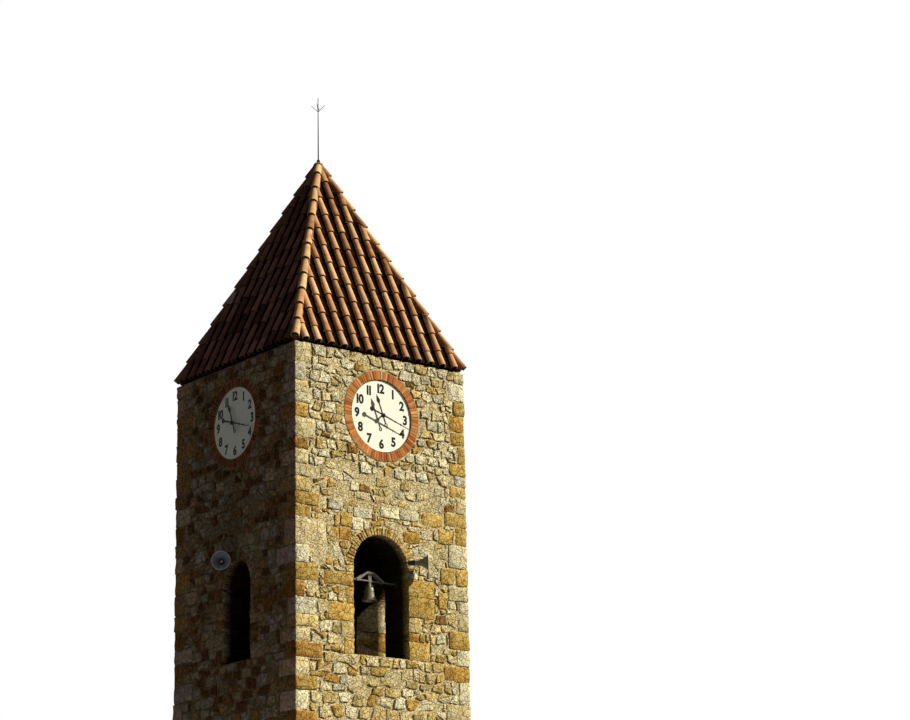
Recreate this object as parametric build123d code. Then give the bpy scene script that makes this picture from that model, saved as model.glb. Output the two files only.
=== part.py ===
"""A square stone bell tower with a steep tiled pyramid roof.

It has two clock dials with turning hands, a swinging bell and two horn loudspeakers.
Millimetres. The origin is on the ground at the tower's axis, +Z is up, the main face looks along -Y.
"""

from build123d import *
import math
import os

# Masonry
tower_width = 3900.0
wall_thickness = 700.0
wall_height = 13000.0
belfry_level = 7400.0
floor_thickness = 150.0
arch_ring_depth = 190.0

# Openings: the wide ones are at the front and back, and shift is to the right as seen from outside
wide_opening = 1250.0
wide_shift = -60.0
wide_springing = 8995.0
narrow_opening = 924.0
narrow_shift = 94.0
narrow_springing = 8813.0

# Roof
roof_pitch = 65.74
roof_thickness = 60.0
eave_lift = 20.0
eave_inset = 25.0
wall_plate_inset = 110.0
wall_plate_width = 220.0
wall_plate_rise = 220.0
cover_radius = 80.0
cover_wall = 14.0
cover_spacing = 289.0
cover_overhang = 12.0
tile_sides = 12
hip_tile_sides = 8
hip_lift = 50.0
hip_tile_large = 84.0
hip_tile_small = 70.0
hip_exposure = 436.0
hip_overhang = 22.0
cap_radius = 100.0
cap_skirt = 240.0
cap_dome = 52.0
cap_drop = 120.0
cap_crown_radius = 42.0
cap_shoulder_radius = 71.0
cap_shoulder_drop = 16.0

# Lightning rod
rod_height = 1362.0
rod_radius = 13.0
rod_tip_radius = 7.0
rod_collar_radius = 34.0
rod_collar_height = 46.0
tine_width = 9.0
tine_reach = 130.0
tine_level = 1200.0

# Clock dials
dial_drop = 1130.0
dial_radius = 688.0
dial_gap = 2.0
dial_thickness = 30.0
dial_recess = 16.0
dial_rim_width = 14.0
dial_rim_height = 8.0
brick_ring_width = 175.0
brick_ring_proud = 6.0
bush_radius = 24.0
bush_length = 60.0
arbor_hole_radius = 30.0

# Clock hands
running_gap = 0.3
arbor_radius = 8.0
pipe_radius = 14.0
hand_thickness = 6.0
hour_standoff = 55.0
minute_standoff = 80.0
hour_reach = 415.0
hour_tail = 185.0
hour_stem = 28.0
hour_leaf = 84.0
leaf_base_share = 0.56
leaf_wide_share = 0.72
minute_reach = 622.0
minute_tail = 285.0
minute_root = 30.0
minute_tip = 12.0
minute_cross = 34.0
minute_cross_shares = (0.44, 0.66)
hand_hub_radius = 40.0
tail_ring_radius = 36.0
tail_ring_seat = 27.0
tail_disc_radius = 48.0
rest_hour = 11
rest_minute = 18

# Bell: its section is given in shares of its mouth radius and its height
bell_radius = 139.0
bell_height = 250.0
bell_wall = 9.0
bell_low_walls = (18.0, 14.4, 10.8)
bell_top_wall = 14.4
bell_neck_low = 36.0
bell_neck_high = 28.0
bell_section = ((1.0, 0.0), (0.9, 0.1), (0.79, 0.25), (0.7, 0.47), (0.64, 0.72), (0.6, 0.88))
bell_shoulder = (0.48, 0.97)
bell_crown = 0.3
bell_hang = 364.0
axle_drop = 165.0
axle_radius = 16.0
bearing_plate = 12.0
bearing_boss = 38.0
bearing_radius = 34.0
bearing_width = 120.0
bearing_height = 130.0
yoke_half_span = 311.0
yoke_rise = 150.0
yoke_flat = 70.0
yoke_depth = 40.0
yoke_bar = 12.0
yoke_spread = 72.0
staple_drop = 40.0
clapper_pin = 6.0
clapper_ball = 24.0
clapper_flat = 10.0
clapper_length = 178.0
clapper_rod = 7.0
clapper_eye_width = 18.0
clapper_eye_radius = 15.0

# Horn loudspeakers: the flare's line is given in shares of its swell and its length
horn_mouth_radius = 168.0
horn_throat_radius = 50.0
horn_length = 250.0
horn_skin = 3.5
horn_flare_line = ((0.0, 0.0), (0.1, 0.38), (0.25, 0.64), (0.52, 0.84), (1.0, 1.0))
horn_rim = 12.0
horn_bearing = 39.25
driver_radius = 46.0
driver_length = 130.0
driver_chamfer = 12.0
stem_radius = 10.0
plug_radius = 26.0
plug_nose_radius = 18.0
plug_tip_radius = 8.0
plug_length = 150.0
bracket_strap = 8.0
bracket_width = 16.0
bracket_drop = 100.0
bracket_plate_width = 70.0
bracket_plate_height = 110.0
bracket_foot_offset = 60.0
front_horn_inset = 45.0
front_horn_out = 52.0
front_horn_rise = 170.0
left_horn_inset = 126.0
left_horn_out = 72.0
left_horn_rise = 422.0

# Sides of the many-sided forms that stand for round ones
large_round = 96
small_round = 24
least_round = 12
rod_sides = 8

SIDES = ("front", "right", "back", "left")
MIN_Z = (Align.CENTER, Align.CENTER, Align.MIN)

# Levels and places that follow from the sizes
half = tower_width / 2
inner_half = half - wall_thickness
inner_width = 2 * inner_half
slope = math.tan(math.radians(roof_pitch))
slope_sin = math.sin(math.radians(roof_pitch))
slope_cos = math.cos(math.radians(roof_pitch))
pan_apex = wall_height + eave_lift + half * slope
pan_edge = half - eave_inset
pan_edge_level = pan_apex - pan_edge * slope
slope_length = pan_edge / slope_cos
roof_base = wall_height - wall_thickness
crest_lift = math.sqrt(2 * slope_sin**2 + 4 * slope_cos**2) / (2 * slope_cos)
hip_crest_apex = pan_apex + (hip_lift + hip_tile_small) * crest_lift
cap_top = hip_crest_apex - cap_drop
dial_level = wall_height - dial_drop
pocket_radius = dial_radius + brick_ring_width
pocket_depth = dial_recess + dial_thickness
axle_level = wide_springing - axle_drop
bell_mouth_level = axle_level - bell_hang
bell_x = wide_shift
bell_y = -half + wall_thickness / 2
clapper_pivot = bell_mouth_level + bell_height - staple_drop


def opening_of(side):
    """Width, shift and springing level of the arched opening on one side."""
    if side in ("front", "back"):
        return wide_opening, wide_shift, wide_springing
    return narrow_opening, narrow_shift, narrow_springing


def turned(side, shape):
    """A shape made for the front, turned about the tower's axis to another side."""
    return Rot(0, 0, 90 * SIDES.index(side)) * shape


def slab(x_size, y_size, z_low, z_high, x=0.0, y=0.0):
    """An upright block between two levels."""
    return Pos(x, y, z_low) * Box(x_size, y_size, z_high - z_low, align=MIN_Z)


def block(x_low, x_high, y_low, y_high, z_low, z_high):
    """An upright block between two corners."""
    return slab(x_high - x_low, y_high - y_low, z_low, z_high, (x_low + x_high) / 2, (y_low + y_high) / 2)


def along_x(radius, x_low, x_high, y, z):
    """A cylinder that runs between two x positions."""
    return Pos(x_low, y, z) * Rot(0, 90, 0) * Cylinder(radius, x_high - x_low, align=MIN_Z)


def round_bar(radius, low, high, sides):
    """A many-sided bar along Z between two levels."""
    return Pos(0, 0, low) * extrude(RegularPolygon(radius, sides), high - low)


def stack(rings, sides):
    """A many-sided turned solid about Z, from the radius and level of each ring, from low to high."""
    sections = [Pos(0, 0, level) * RegularPolygon(radius, sides) for radius, level in rings]
    body = loft(sections[:2], ruled=True)
    for low, high in zip(sections[1:], sections[2:]):
        body += loft([low, high], ruled=True)
    return body


def wall_run(side):
    """Length of a side's wall: the front and back take the corners."""
    return tower_width if side in ("front", "back") else inner_width


def shaft_wall(side):
    """The plain wall from the ground to the belfry floor."""
    return turned(side, slab(wall_run(side), wall_thickness, 0, belfry_level, y=-half + wall_thickness / 2))


def front_pier(x_sign):
    """The L-shaped masonry of one front corner, between two openings and up to their arches."""
    jamb = x_sign * wide_shift + wide_opening / 2
    arm = block(jamb, half, -half, -inner_half, belfry_level, wide_springing)
    side_jamb = x_sign * narrow_shift - narrow_opening / 2
    leg = block(inner_half, half, -inner_half, side_jamb, belfry_level, narrow_springing)
    pier = (arm + leg).clean()
    return pier if x_sign > 0 else mirror(pier, Plane.YZ)


def arch_head(side, with_dial):
    """The wall over an opening, with the arch's seat and the pocket of a dial cut in it."""
    width, shift, springing = opening_of(side)
    body = slab(wall_run(side), wall_thickness, springing, wall_height, y=-half + wall_thickness / 2)
    seat = round_bar(width / 2 + arch_ring_depth, -1, wall_thickness + 1, large_round)
    body -= Pos(shift, -half, springing) * Rot(-90, 0, 0) * seat
    if with_dial:
        pocket = round_bar(pocket_radius, -1, pocket_depth, large_round)
        hole = round_bar(arbor_hole_radius, -1, wall_thickness + 1, small_round)
        body -= Pos(0, -half, dial_level) * Rot(-90, 0, 0) * (pocket + hole)
    return turned(side, body)


def arch_ring(side):
    """The ring of thin arch stones, through the whole wall."""
    width, shift, springing = opening_of(side)
    inner = width / 2
    outer = inner + arch_ring_depth
    ring = RegularPolygon(outer, large_round) - RegularPolygon(inner, large_round)
    ring &= Pos(0, outer / 2) * Rectangle(2 * outer + 2, outer)
    return turned(side, Pos(shift, -inner_half, springing) * Rot(90, 0, 0) * extrude(ring, wall_thickness))


def quadrant(level_low, level_high):
    """The wedge of space over the front side, between the two diagonals."""
    reach = tower_width
    wedge = Polygon((0, 0), (-reach, -reach), (reach, -reach), align=None)
    return Pos(0, 0, level_low) * extrude(wedge, level_high - level_low)


def pyramid(apex_level, base_level):
    """A square pyramid with the roof's pitch, as the common part of two ridged prisms."""
    run = (apex_level - base_level) / slope
    ridge = Polygon((-run, base_level), (run, base_level), (0, apex_level), align=None)
    prism = extrude(Plane.XZ * ridge, run, both=True)
    return prism & (Rot(0, 0, 90) * prism)


def hip_frame():
    """The plane at the foot of the front right hip: its Z runs up the hip, through the tile centres."""
    lift_along_normals = Vector(slope_sin, -slope_sin, 2 * slope_cos).normalized() * hip_lift
    foot = Vector(pan_edge, -pan_edge, pan_edge_level) + lift_along_normals
    up_hip = Vector(-1, 1, slope).normalized()
    return Plane(origin=foot, z_dir=up_hip, x_dir=Vector(1, 1, 0))


def hip_length():
    """From the foot of a hip to the tower's axis."""
    return pan_edge * math.sqrt(2 + slope * slope)


def hip_row():
    """Tapered clay tiles that lap each other up the front right hip, bedded in mortar to the roof."""
    row = None
    count = math.ceil((hip_length() + hip_overhang) / hip_exposure)
    taper = (hip_tile_large - hip_tile_small) / hip_exposure
    for index in range(count):
        start = index * hip_exposure - hip_overhang
        length = min(hip_exposure, hip_length() - start)
        high_end = (hip_tile_large - taper * length, start + length)
        tile = stack([(hip_tile_large, start), high_end], hip_tile_sides)
        row = tile if row is None else row + tile
    row = hip_frame().location * row
    own_quarter = slab(tower_width, tower_width, 0, 2 * wall_height, tower_width / 2, -tower_width / 2)
    return (row & own_quarter) - pyramid(pan_apex, roof_base) - cap_space()


def hip_space():
    """The straight space that the front right hip tiles take from the cover tiles."""
    return hip_frame().location * round_bar(hip_tile_large, -hip_overhang, hip_length(), hip_tile_sides)


def cap_space():
    """The round space of the mortar cap, from inside the roof up past the hips."""
    return round_bar(cap_radius, pan_apex - cap_skirt, pan_apex + cap_skirt + tower_width / 4, small_round)


def slope_frame():
    """The plane across the foot of the front slope: Y points out of the slope and Z runs up it."""
    up_slope = Vector(0, slope_cos, slope_sin)
    return Plane(origin=(0, -pan_edge, pan_edge_level), x_dir=(-1, 0, 0), z_dir=up_slope)


def cover_tiles():
    """The hollow half-round cover tiles of one slope, cut back where the hip tiles lie."""
    columns = int((pan_edge - hip_tile_large) / cover_spacing)
    row = Sketch()
    for index in range(-columns, columns + 1):
        outside = RegularPolygon(cover_radius, tile_sides)
        row += Pos(index * cover_spacing) * (outside - RegularPolygon(cover_radius - cover_wall, tile_sides))
    row &= Pos(0, cover_radius / 2) * Rectangle(2 * pan_edge + 2 * cover_radius, cover_radius)
    tiles = slope_frame().location * Pos(0, 0, -cover_overhang) * extrude(row, slope_length + cover_overhang)
    tiles &= quadrant(roof_base, pan_apex + cap_skirt)
    return tiles - hip_space() - Rot(0, 0, -90) * hip_space()


def wall_plate():
    """The set-back course that the foot of one slope rests on."""
    outer = half - wall_plate_inset
    level = wall_height + wall_plate_rise
    plate = block(-outer, outer, -outer, -outer + wall_plate_width, wall_height, level)
    return plate & pyramid(pan_apex, roof_base) & quadrant(roof_base, pan_apex)


def roof_side(side):
    """One sloping side: a mitred slab with its hollow cover tiles, on a set-back wall plate."""
    section = Pos(0, -roof_thickness / 2) * Rectangle(2 * pan_edge, roof_thickness)
    body = slope_frame().location * extrude(section, slope_length)
    body &= quadrant(roof_base, pan_apex)
    body = body + cover_tiles() + wall_plate()
    body -= cap_space()
    largest = max(body.solids(), key=lambda solid: solid.volume)
    return turned(side, largest)


def apex_cap():
    """The round mortar cap where the hips meet, with a low dome."""
    base = pan_apex - cap_skirt
    brim = cap_top - cap_dome
    shoulder = (cap_shoulder_radius, cap_top - cap_shoulder_drop)
    return stack([(cap_radius, base), (cap_radius, brim), shoulder, (cap_crown_radius, cap_top)], small_round)


def lightning_rod():
    """A tapering rod on a collar, with four short prongs near its tip."""
    body = round_bar(rod_collar_radius, cap_top, cap_top + rod_collar_height, least_round)
    body += stack([(rod_radius, cap_top), (rod_tip_radius, cap_top + rod_height)], rod_sides)
    for quarter in range(4):
        prong = Rot(0, 45, 0) * Box(tine_width, tine_width, tine_reach * math.sqrt(2), align=MIN_Z)
        body += Pos(0, 0, cap_top + tine_level - tine_reach) * Rot(0, 0, 45 + 90 * quarter) * prong
    return body


def dial_plane(side):
    """The plane of a wall's face at the dial's centre: X to the viewer's right, Y up, Z out of the wall."""
    plane = Plane(origin=(0, -half, dial_level), x_dir=(1, 0, 0), z_dir=(0, -1, 0))
    return Rot(0, 0, 90 * SIDES.index(side)) * plane.location


def brick_ring(side):
    """The ring of bricks on edge round a dial."""
    body = round_bar(pocket_radius, -pocket_depth, brick_ring_proud, large_round)
    body -= round_bar(dial_radius, -pocket_depth - 1, brick_ring_proud + 1, large_round)
    return dial_plane(side) * body


def dial(side):
    """The dial plate with its raised rim and the bush that the hour pipe turns in."""
    plate_radius = dial_radius - dial_gap
    rim_level = dial_rim_height - dial_recess
    bush_end = -pocket_depth - bush_length
    body = round_bar(plate_radius, -pocket_depth, rim_level, large_round)
    body -= round_bar(plate_radius - dial_rim_width, -dial_recess, rim_level + 1, large_round)
    body += round_bar(bush_radius, bush_end, rim_level, small_round)
    bore = Cylinder(pipe_radius + running_gap, rim_level - bush_end + 2, align=MIN_Z)
    return dial_plane(side) * (body - Pos(0, 0, bush_end - 1) * bore)


def hour_hand_outline():
    """A stem that swells to a pointed leaf, with a ring on its tail."""
    stem = hour_stem / 2
    leaf = hour_leaf / 2
    base = leaf_base_share * hour_reach
    wide = leaf_wide_share * hour_reach
    right = [(stem, 0), (stem, base), (leaf, wide)]
    left = [(-x, y) for x, y in reversed(right)]
    outline = Polygon(*right, (0, hour_reach), *left, align=None)
    tail_stem = hour_tail - tail_ring_seat
    outline += Pos(0, -tail_stem / 2) * Rectangle(hour_stem, tail_stem)
    outline += RegularPolygon(hand_hub_radius, small_round)
    ring = RegularPolygon(tail_ring_radius, small_round) - RegularPolygon(tail_ring_radius / 2, least_round)
    outline += Pos(0, -hour_tail) * ring
    return outline


def minute_hand_outline():
    """A slender tapering bar with two small crosses, and a disc on its tail."""
    root = minute_root / 2
    tip = minute_tip / 2
    outline = Polygon((-root, 0), (root, 0), (tip, minute_reach), (-tip, minute_reach), align=None)
    for share in minute_cross_shares:
        outline += Pos(0, share * minute_reach) * Rot(0, 0, 45) * Rectangle(minute_cross, minute_cross)
    tail_stem = minute_tail - tail_disc_radius / 2
    outline += Pos(0, -tail_stem / 2) * Rectangle(minute_root, tail_stem)
    outline += RegularPolygon(hand_hub_radius, small_round)
    outline += Pos(0, -minute_tail) * RegularPolygon(tail_disc_radius, small_round)
    return outline


def hour_hand(side):
    """The hour hand on its pipe, at its rest time."""
    low = hour_standoff - dial_recess
    pipe_end = -pocket_depth - bush_length
    pipe_length = low + hand_thickness - pipe_end
    body = Pos(0, 0, low) * extrude(hour_hand_outline(), hand_thickness)
    body += Pos(0, 0, pipe_end) * Cylinder(pipe_radius, pipe_length, align=MIN_Z)
    body -= Pos(0, 0, pipe_end - 1) * Cylinder(arbor_radius + running_gap, pipe_length + 2, align=MIN_Z)
    turn = 30 * (rest_hour + rest_minute / 60)
    return dial_plane(side) * Rot(0, 0, -turn) * body


def minute_hand(side):
    """The minute hand on its arbor, at its rest time."""
    low = minute_standoff - dial_recess
    body = Pos(0, 0, low) * extrude(minute_hand_outline(), hand_thickness)
    arbor_end = -pocket_depth - bush_length
    body += Pos(0, 0, arbor_end) * Cylinder(arbor_radius, low - arbor_end, align=MIN_Z)
    body += round_bar(arbor_radius * 2, low, low + 2.5 * hand_thickness, least_round)
    return dial_plane(side) * Rot(0, 0, -6 * rest_minute) * body


def bell_shell():
    """The bell's hollow casting: lip, sound bow, waist, shoulder and crown, with its mouth at level zero."""
    walls = bell_low_walls + (bell_wall,) * (len(bell_section) - len(bell_low_walls))
    outer = [(radius * bell_radius, level * bell_height) for radius, level in bell_section]
    inner = [(radius - wall, level) for (radius, level), wall in zip(outer, walls)]
    shoulder = (bell_shoulder[0] * bell_radius, bell_shoulder[1] * bell_height)
    crown = (bell_crown * bell_radius, bell_height)
    inside_top = (shoulder[0] - bell_wall, bell_height - bell_top_wall)
    below_mouth = (inner[0][0], -1)
    hollow = stack([below_mouth] + inner + [inside_top], small_round)
    return stack(outer + [shoulder, crown], small_round) - hollow


def bell():
    """The cast bell, with the staple that holds the clapper and the crown that meets the yoke."""
    shell = Pos(bell_x, bell_y, bell_mouth_level) * bell_shell()
    crown_low = bell_mouth_level + bell_height
    crown_high = axle_level - yoke_depth / 2
    neck = stack([(bell_neck_low, crown_low), (bell_neck_high, crown_high)], small_round)
    shell += Pos(bell_x, bell_y, 0) * neck
    lug_top = crown_low - bell_wall
    lug_low = clapper_pivot - 2 * clapper_pin
    lug_gap = clapper_eye_width / 2 + running_gap
    lug_thick = clapper_pin
    for sign in (-1, 1):
        x = bell_x + sign * (lug_gap + lug_thick / 2)
        shell += slab(lug_thick, 4 * clapper_pin, lug_low, lug_top, x, bell_y)
    pin_reach = lug_gap + lug_thick
    shell += along_x(clapper_pin, bell_x - pin_reach, bell_x + pin_reach, bell_y, clapper_pivot)
    return shell


def clapper():
    """The iron clapper: an eye on the staple's pin, a rod and a forged ball."""
    eye_low = bell_x - clapper_eye_width / 2
    eye_high = bell_x + clapper_eye_width / 2
    ball_level = clapper_pivot - clapper_length
    rod_top = clapper_pivot - clapper_eye_radius / 2
    rings = (
        (clapper_flat, ball_level - clapper_ball),
        (clapper_ball, ball_level - clapper_flat),
        (clapper_ball, ball_level + clapper_flat),
        (clapper_rod, ball_level + clapper_ball),
        (clapper_rod, rod_top),
    )
    body = Pos(bell_x, bell_y, 0) * stack(rings, least_round)
    body += along_x(clapper_eye_radius, eye_low, eye_high, bell_y, clapper_pivot)
    body -= along_x(clapper_pin + running_gap, eye_low - 1, eye_high + 1, bell_y, clapper_pivot)
    return body


def yoke_outline():
    """The bowed bar seen from the front: two straight arms that rise to a flat top."""
    low = axle_level - yoke_depth / 2
    inner = [(-yoke_half_span, low), (yoke_depth - yoke_half_span, low), (-yoke_flat, low + yoke_rise)]
    outer = [(-yoke_flat, low + yoke_rise + yoke_depth), (-yoke_half_span, low + yoke_depth)]
    points = inner + [(-x, z) for x, z in inner[::-1]] + [(-x, z) for x, z in outer[::-1]] + outer
    return Polygon(*points, align=None)


def bell_yoke():
    """Two parallel bowed bars with spacers, end blocks on the axle, and the block over the bell's crown."""
    bar = extrude(Plane.XZ * yoke_outline(), yoke_bar / 2, both=True)
    low = axle_level - yoke_depth / 2
    top_low = low + yoke_rise
    depth = yoke_spread
    body = slab(yoke_flat, depth, top_low, top_low + yoke_depth)
    body += slab(yoke_flat, yoke_depth, low, top_low)
    for sign in (-1, 1):
        body += Pos(0, sign * yoke_spread / 2, 0) * bar
        body += slab(yoke_depth, depth, low, low + yoke_depth, sign * (yoke_half_span - yoke_depth / 2), 0)
    body -= along_x(axle_radius, -yoke_half_span - 1, yoke_half_span + 1, 0, axle_level)
    return Pos(bell_x, bell_y, 0) * body


def bell_axle():
    """The shaft that carries the yoke, from bearing to bearing."""
    reach = wide_opening / 2 - bearing_plate - 1
    return along_x(axle_radius, bell_x - reach, bell_x + reach, bell_y, axle_level)


def bearing(sign):
    """A cast bearing on the reveal of the opening, with a plate and a boss round the axle."""
    jamb = wide_opening / 2
    low = axle_level - bearing_height / 2
    plate_x = sign * (jamb - bearing_plate / 2)
    body = slab(bearing_plate, bearing_width, low, low + bearing_height, plate_x, bell_y)
    ends = sorted((sign * (jamb - bearing_plate - bearing_boss), sign * (jamb - bearing_plate)))
    body += along_x(bearing_radius, ends[0], ends[1], bell_y, axle_level)
    body -= along_x(axle_radius + running_gap, ends[0] - 1, ends[1] + 1, bell_y, axle_level)
    return Pos(bell_x, 0, 0) * body


def horn_axis():
    """The direction that a horn faces, seen from its own wall: outwards and to the right."""
    angle = math.radians(horn_bearing)
    return Vector(math.cos(angle), -math.sin(angle), 0)


def horn_frame(back):
    """The frame at the back of a driver: Z runs along the horn's axis, out of the mouth."""
    return Plane(origin=back, z_dir=horn_axis(), x_dir=(0, 0, 1)).location


def horn_flare(back):
    """The thin flaring horn with a rim round its mouth and a flange at its throat."""
    mouth = driver_length + horn_length
    swell = horn_mouth_radius - horn_throat_radius
    outer = [(horn_throat_radius + r * swell, driver_length + z * horn_length) for r, z in horn_flare_line]
    inner = [(radius - horn_skin, level) for radius, level in outer]
    before = (inner[0][0], driver_length - 1)
    beyond = (inner[-1][0], mouth + 1)
    shell = stack(outer, small_round) - stack([before] + inner + [beyond], small_round)
    low, high = mouth - horn_rim / 2, mouth + horn_rim / 2
    rim = round_bar(horn_mouth_radius + horn_rim / 2, low, high, small_round)
    rim -= round_bar(horn_mouth_radius - horn_rim / 2, low - 1, high + 1, small_round)
    flange_radius = horn_throat_radius - horn_skin / 2
    flange = round_bar(flange_radius, driver_length, driver_length + 2 * horn_skin, small_round)
    flange -= round_bar(plug_radius, 0, 2 * driver_length, least_round)
    return horn_frame(back) * (shell + rim + flange)


def horn_driver(back):
    """The driver's can with its chamfered back, and the plug that it carries inside the flare."""
    plug_start = driver_length + plug_length / 3
    plug_end = driver_length + plug_length
    back_radius = driver_radius - driver_chamfer
    can = ((back_radius, 0), (driver_radius, driver_chamfer), (driver_radius, driver_length))
    plug = (
        (stem_radius, driver_length - 1),
        (stem_radius, plug_start),
        (plug_radius, plug_end - plug_radius),
        (plug_nose_radius, plug_end - plug_tip_radius),
        (plug_tip_radius, plug_end),
    )
    return horn_frame(back) * (stack(can, small_round) + stack(plug, least_round))


def horn_bracket(back, foot_along):
    """Two bands round the driver, with legs down to a bar, and an arm from the bar to a plate on the wall."""
    frame = horn_frame(back)
    bar_level = back.Z - driver_radius - bracket_drop
    leg_places = (bracket_width, driver_length - bracket_width)
    bar_length = leg_places[1] - leg_places[0] + bracket_strap
    bar_middle = Vector(back.X, back.Y, bar_level) + horn_axis() * (driver_length / 2)
    bar = Box(bar_length, bracket_width, bracket_strap)
    body = Plane(origin=bar_middle, x_dir=horn_axis(), z_dir=(0, 0, 1)).location * bar
    for place in leg_places:
        low, high = place - bracket_width / 2, place + bracket_width / 2
        band = round_bar(driver_radius + bracket_strap, low, high, small_round)
        band -= round_bar(driver_radius, low - 1, high + 1, small_round)
        leg_length = bracket_drop - bracket_strap / 2
        leg = Pos(-driver_radius - bracket_strap / 2, 0, place) * Box(
            leg_length, bracket_width, bracket_strap, align=(Align.MAX, Align.CENTER, Align.CENTER)
        )
        body += frame * (band + leg)
    foot = Vector(foot_along, -half - bracket_strap, bar_level)
    arm_line = foot - bar_middle
    arm = Box(arm_line.length, bracket_width, bracket_strap)
    body += Plane(origin=(foot + bar_middle) * 0.5, x_dir=arm_line, z_dir=(0, 0, 1)).location * arm
    plate = Pos(foot_along, -half - bracket_strap / 2, bar_level)
    body += plate * Box(bracket_plate_width, bracket_strap, bracket_plate_height)
    return body


def horn_parts(side, back, foot_along):
    """The three pieces of a horn loudspeaker on one side of the tower."""
    return {
        f"{side}_horn": turned(side, horn_flare(back)),
        f"{side}_horn_driver": turned(side, horn_driver(back)),
        f"{side}_horn_bracket": turned(side, horn_bracket(back, foot_along)),
    }


parts = {}
for side in SIDES:
    parts[f"shaft_wall_{side}"] = shaft_wall(side)
    parts[f"arch_head_{side}"] = arch_head(side, side in ("front", "left"))
    parts[f"arch_ring_{side}"] = arch_ring(side)
    parts[f"roof_{side}"] = roof_side(side)
parts["corner_pier_front_right"] = front_pier(1)
parts["corner_pier_front_left"] = front_pier(-1)
parts["corner_pier_back_left"] = turned("back", front_pier(1))
parts["corner_pier_back_right"] = turned("back", front_pier(-1))
parts["ground_floor"] = slab(inner_width, inner_width, 0, floor_thickness)
parts["belfry_floor"] = slab(inner_width, inner_width, belfry_level - floor_thickness, belfry_level)
for quarter, name in enumerate(("front_right", "back_right", "back_left", "front_left")):
    parts[f"hip_tiles_{name}"] = Rot(0, 0, 90 * quarter) * hip_row()
parts["apex_cap"] = apex_cap()
parts["lightning_rod"] = lightning_rod()
for side in ("front", "left"):
    parts[f"{side}_brick_ring"] = brick_ring(side)
    parts[f"{side}_dial"] = dial(side)
    parts[f"{side}_hour_hand"] = hour_hand(side)
    parts[f"{side}_minute_hand"] = minute_hand(side)
parts["bell"] = bell()
parts["bell_clapper"] = clapper()
parts["bell_yoke"] = bell_yoke()
parts["bell_axle"] = bell_axle()
parts["axle_bearings"] = Compound(children=[bearing(-1), bearing(1)])
wide_jamb = wide_shift + wide_opening / 2
narrow_jamb = narrow_shift - narrow_opening / 2
front_back = Vector(wide_jamb - front_horn_inset, -half - front_horn_out, wide_springing + front_horn_rise)
left_back = Vector(narrow_jamb + left_horn_inset, -half - left_horn_out, narrow_springing + left_horn_rise)
parts.update(horn_parts("front", front_back, wide_jamb + bracket_foot_offset))
parts.update(horn_parts("left", left_back, narrow_jamb - bracket_foot_offset))

os.makedirs("parts", exist_ok=True)
for name, shape in parts.items():
    export_step(shape, f"parts/{name}.step")
    print(name, len(shape.solids()), round(shape.volume / 1e6, 3), shape.is_valid)
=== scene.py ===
import logging
import math
import random
from collections.abc import Callable, Iterable, Iterator
from dataclasses import dataclass, field
from enum import Enum

import bmesh
import bpy
import numpy as np
from mathutils import Matrix, Vector


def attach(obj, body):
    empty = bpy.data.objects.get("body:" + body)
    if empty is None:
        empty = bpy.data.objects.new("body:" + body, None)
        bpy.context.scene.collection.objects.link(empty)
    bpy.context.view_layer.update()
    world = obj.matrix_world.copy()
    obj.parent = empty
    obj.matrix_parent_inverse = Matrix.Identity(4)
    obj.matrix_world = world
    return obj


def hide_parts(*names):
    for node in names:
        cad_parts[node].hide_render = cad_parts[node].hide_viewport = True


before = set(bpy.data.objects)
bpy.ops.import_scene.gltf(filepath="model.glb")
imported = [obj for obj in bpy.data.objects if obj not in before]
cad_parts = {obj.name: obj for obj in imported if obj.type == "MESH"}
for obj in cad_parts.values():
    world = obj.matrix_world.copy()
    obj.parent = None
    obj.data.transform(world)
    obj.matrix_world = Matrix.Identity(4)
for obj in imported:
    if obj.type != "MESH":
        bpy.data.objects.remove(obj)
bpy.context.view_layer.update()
LOG = logging.getLogger("bell_tower")

Piece = bpy.types.Object
Material = bpy.types.Material
Socket = bpy.types.NodeSocket
Colour = tuple[float, float, float]
Stops = tuple[tuple[float, Colour], ...]
Outline = list[tuple[float, float]]
Box = tuple[float, float, float, float]
Test = Callable[[bmesh.types.BMFace], bool]
Chooser = Callable[[Vector], float]


class Side(Enum):
    """The four faces of the tower, with the quarter turns that bring the front onto each."""

    FRONT = 0
    RIGHT = 1
    BACK = 2
    LEFT = 3

    @property
    def word(self) -> str:
        """The side's name as the nodes use it."""
        return self.name.lower()

    @property
    def turn(self) -> Matrix:
        """The turn about the tower's axis that brings the front face onto this one."""
        return Matrix.Rotation(math.radians(90 * self.value), 4, "Z")

    @property
    def wide(self) -> bool:
        """Whether the opening is the wide one."""
        return self in (Side.FRONT, Side.BACK)

    @property
    def has_dial(self) -> bool:
        """Whether a clock is on this face."""
        return self in (Side.FRONT, Side.LEFT)


class Tone(Enum):
    """Kinds of stone, as places on the stone ramp."""

    GREY = 0.08
    PALE = 0.24
    CREAM = 0.40
    SAND = 0.56
    GOLD = 0.72
    RUST = 0.87
    BROWN = 0.97


GREY, PALE, CREAM, SAND, GOLD, RUST, BROWN = Tone


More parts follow.
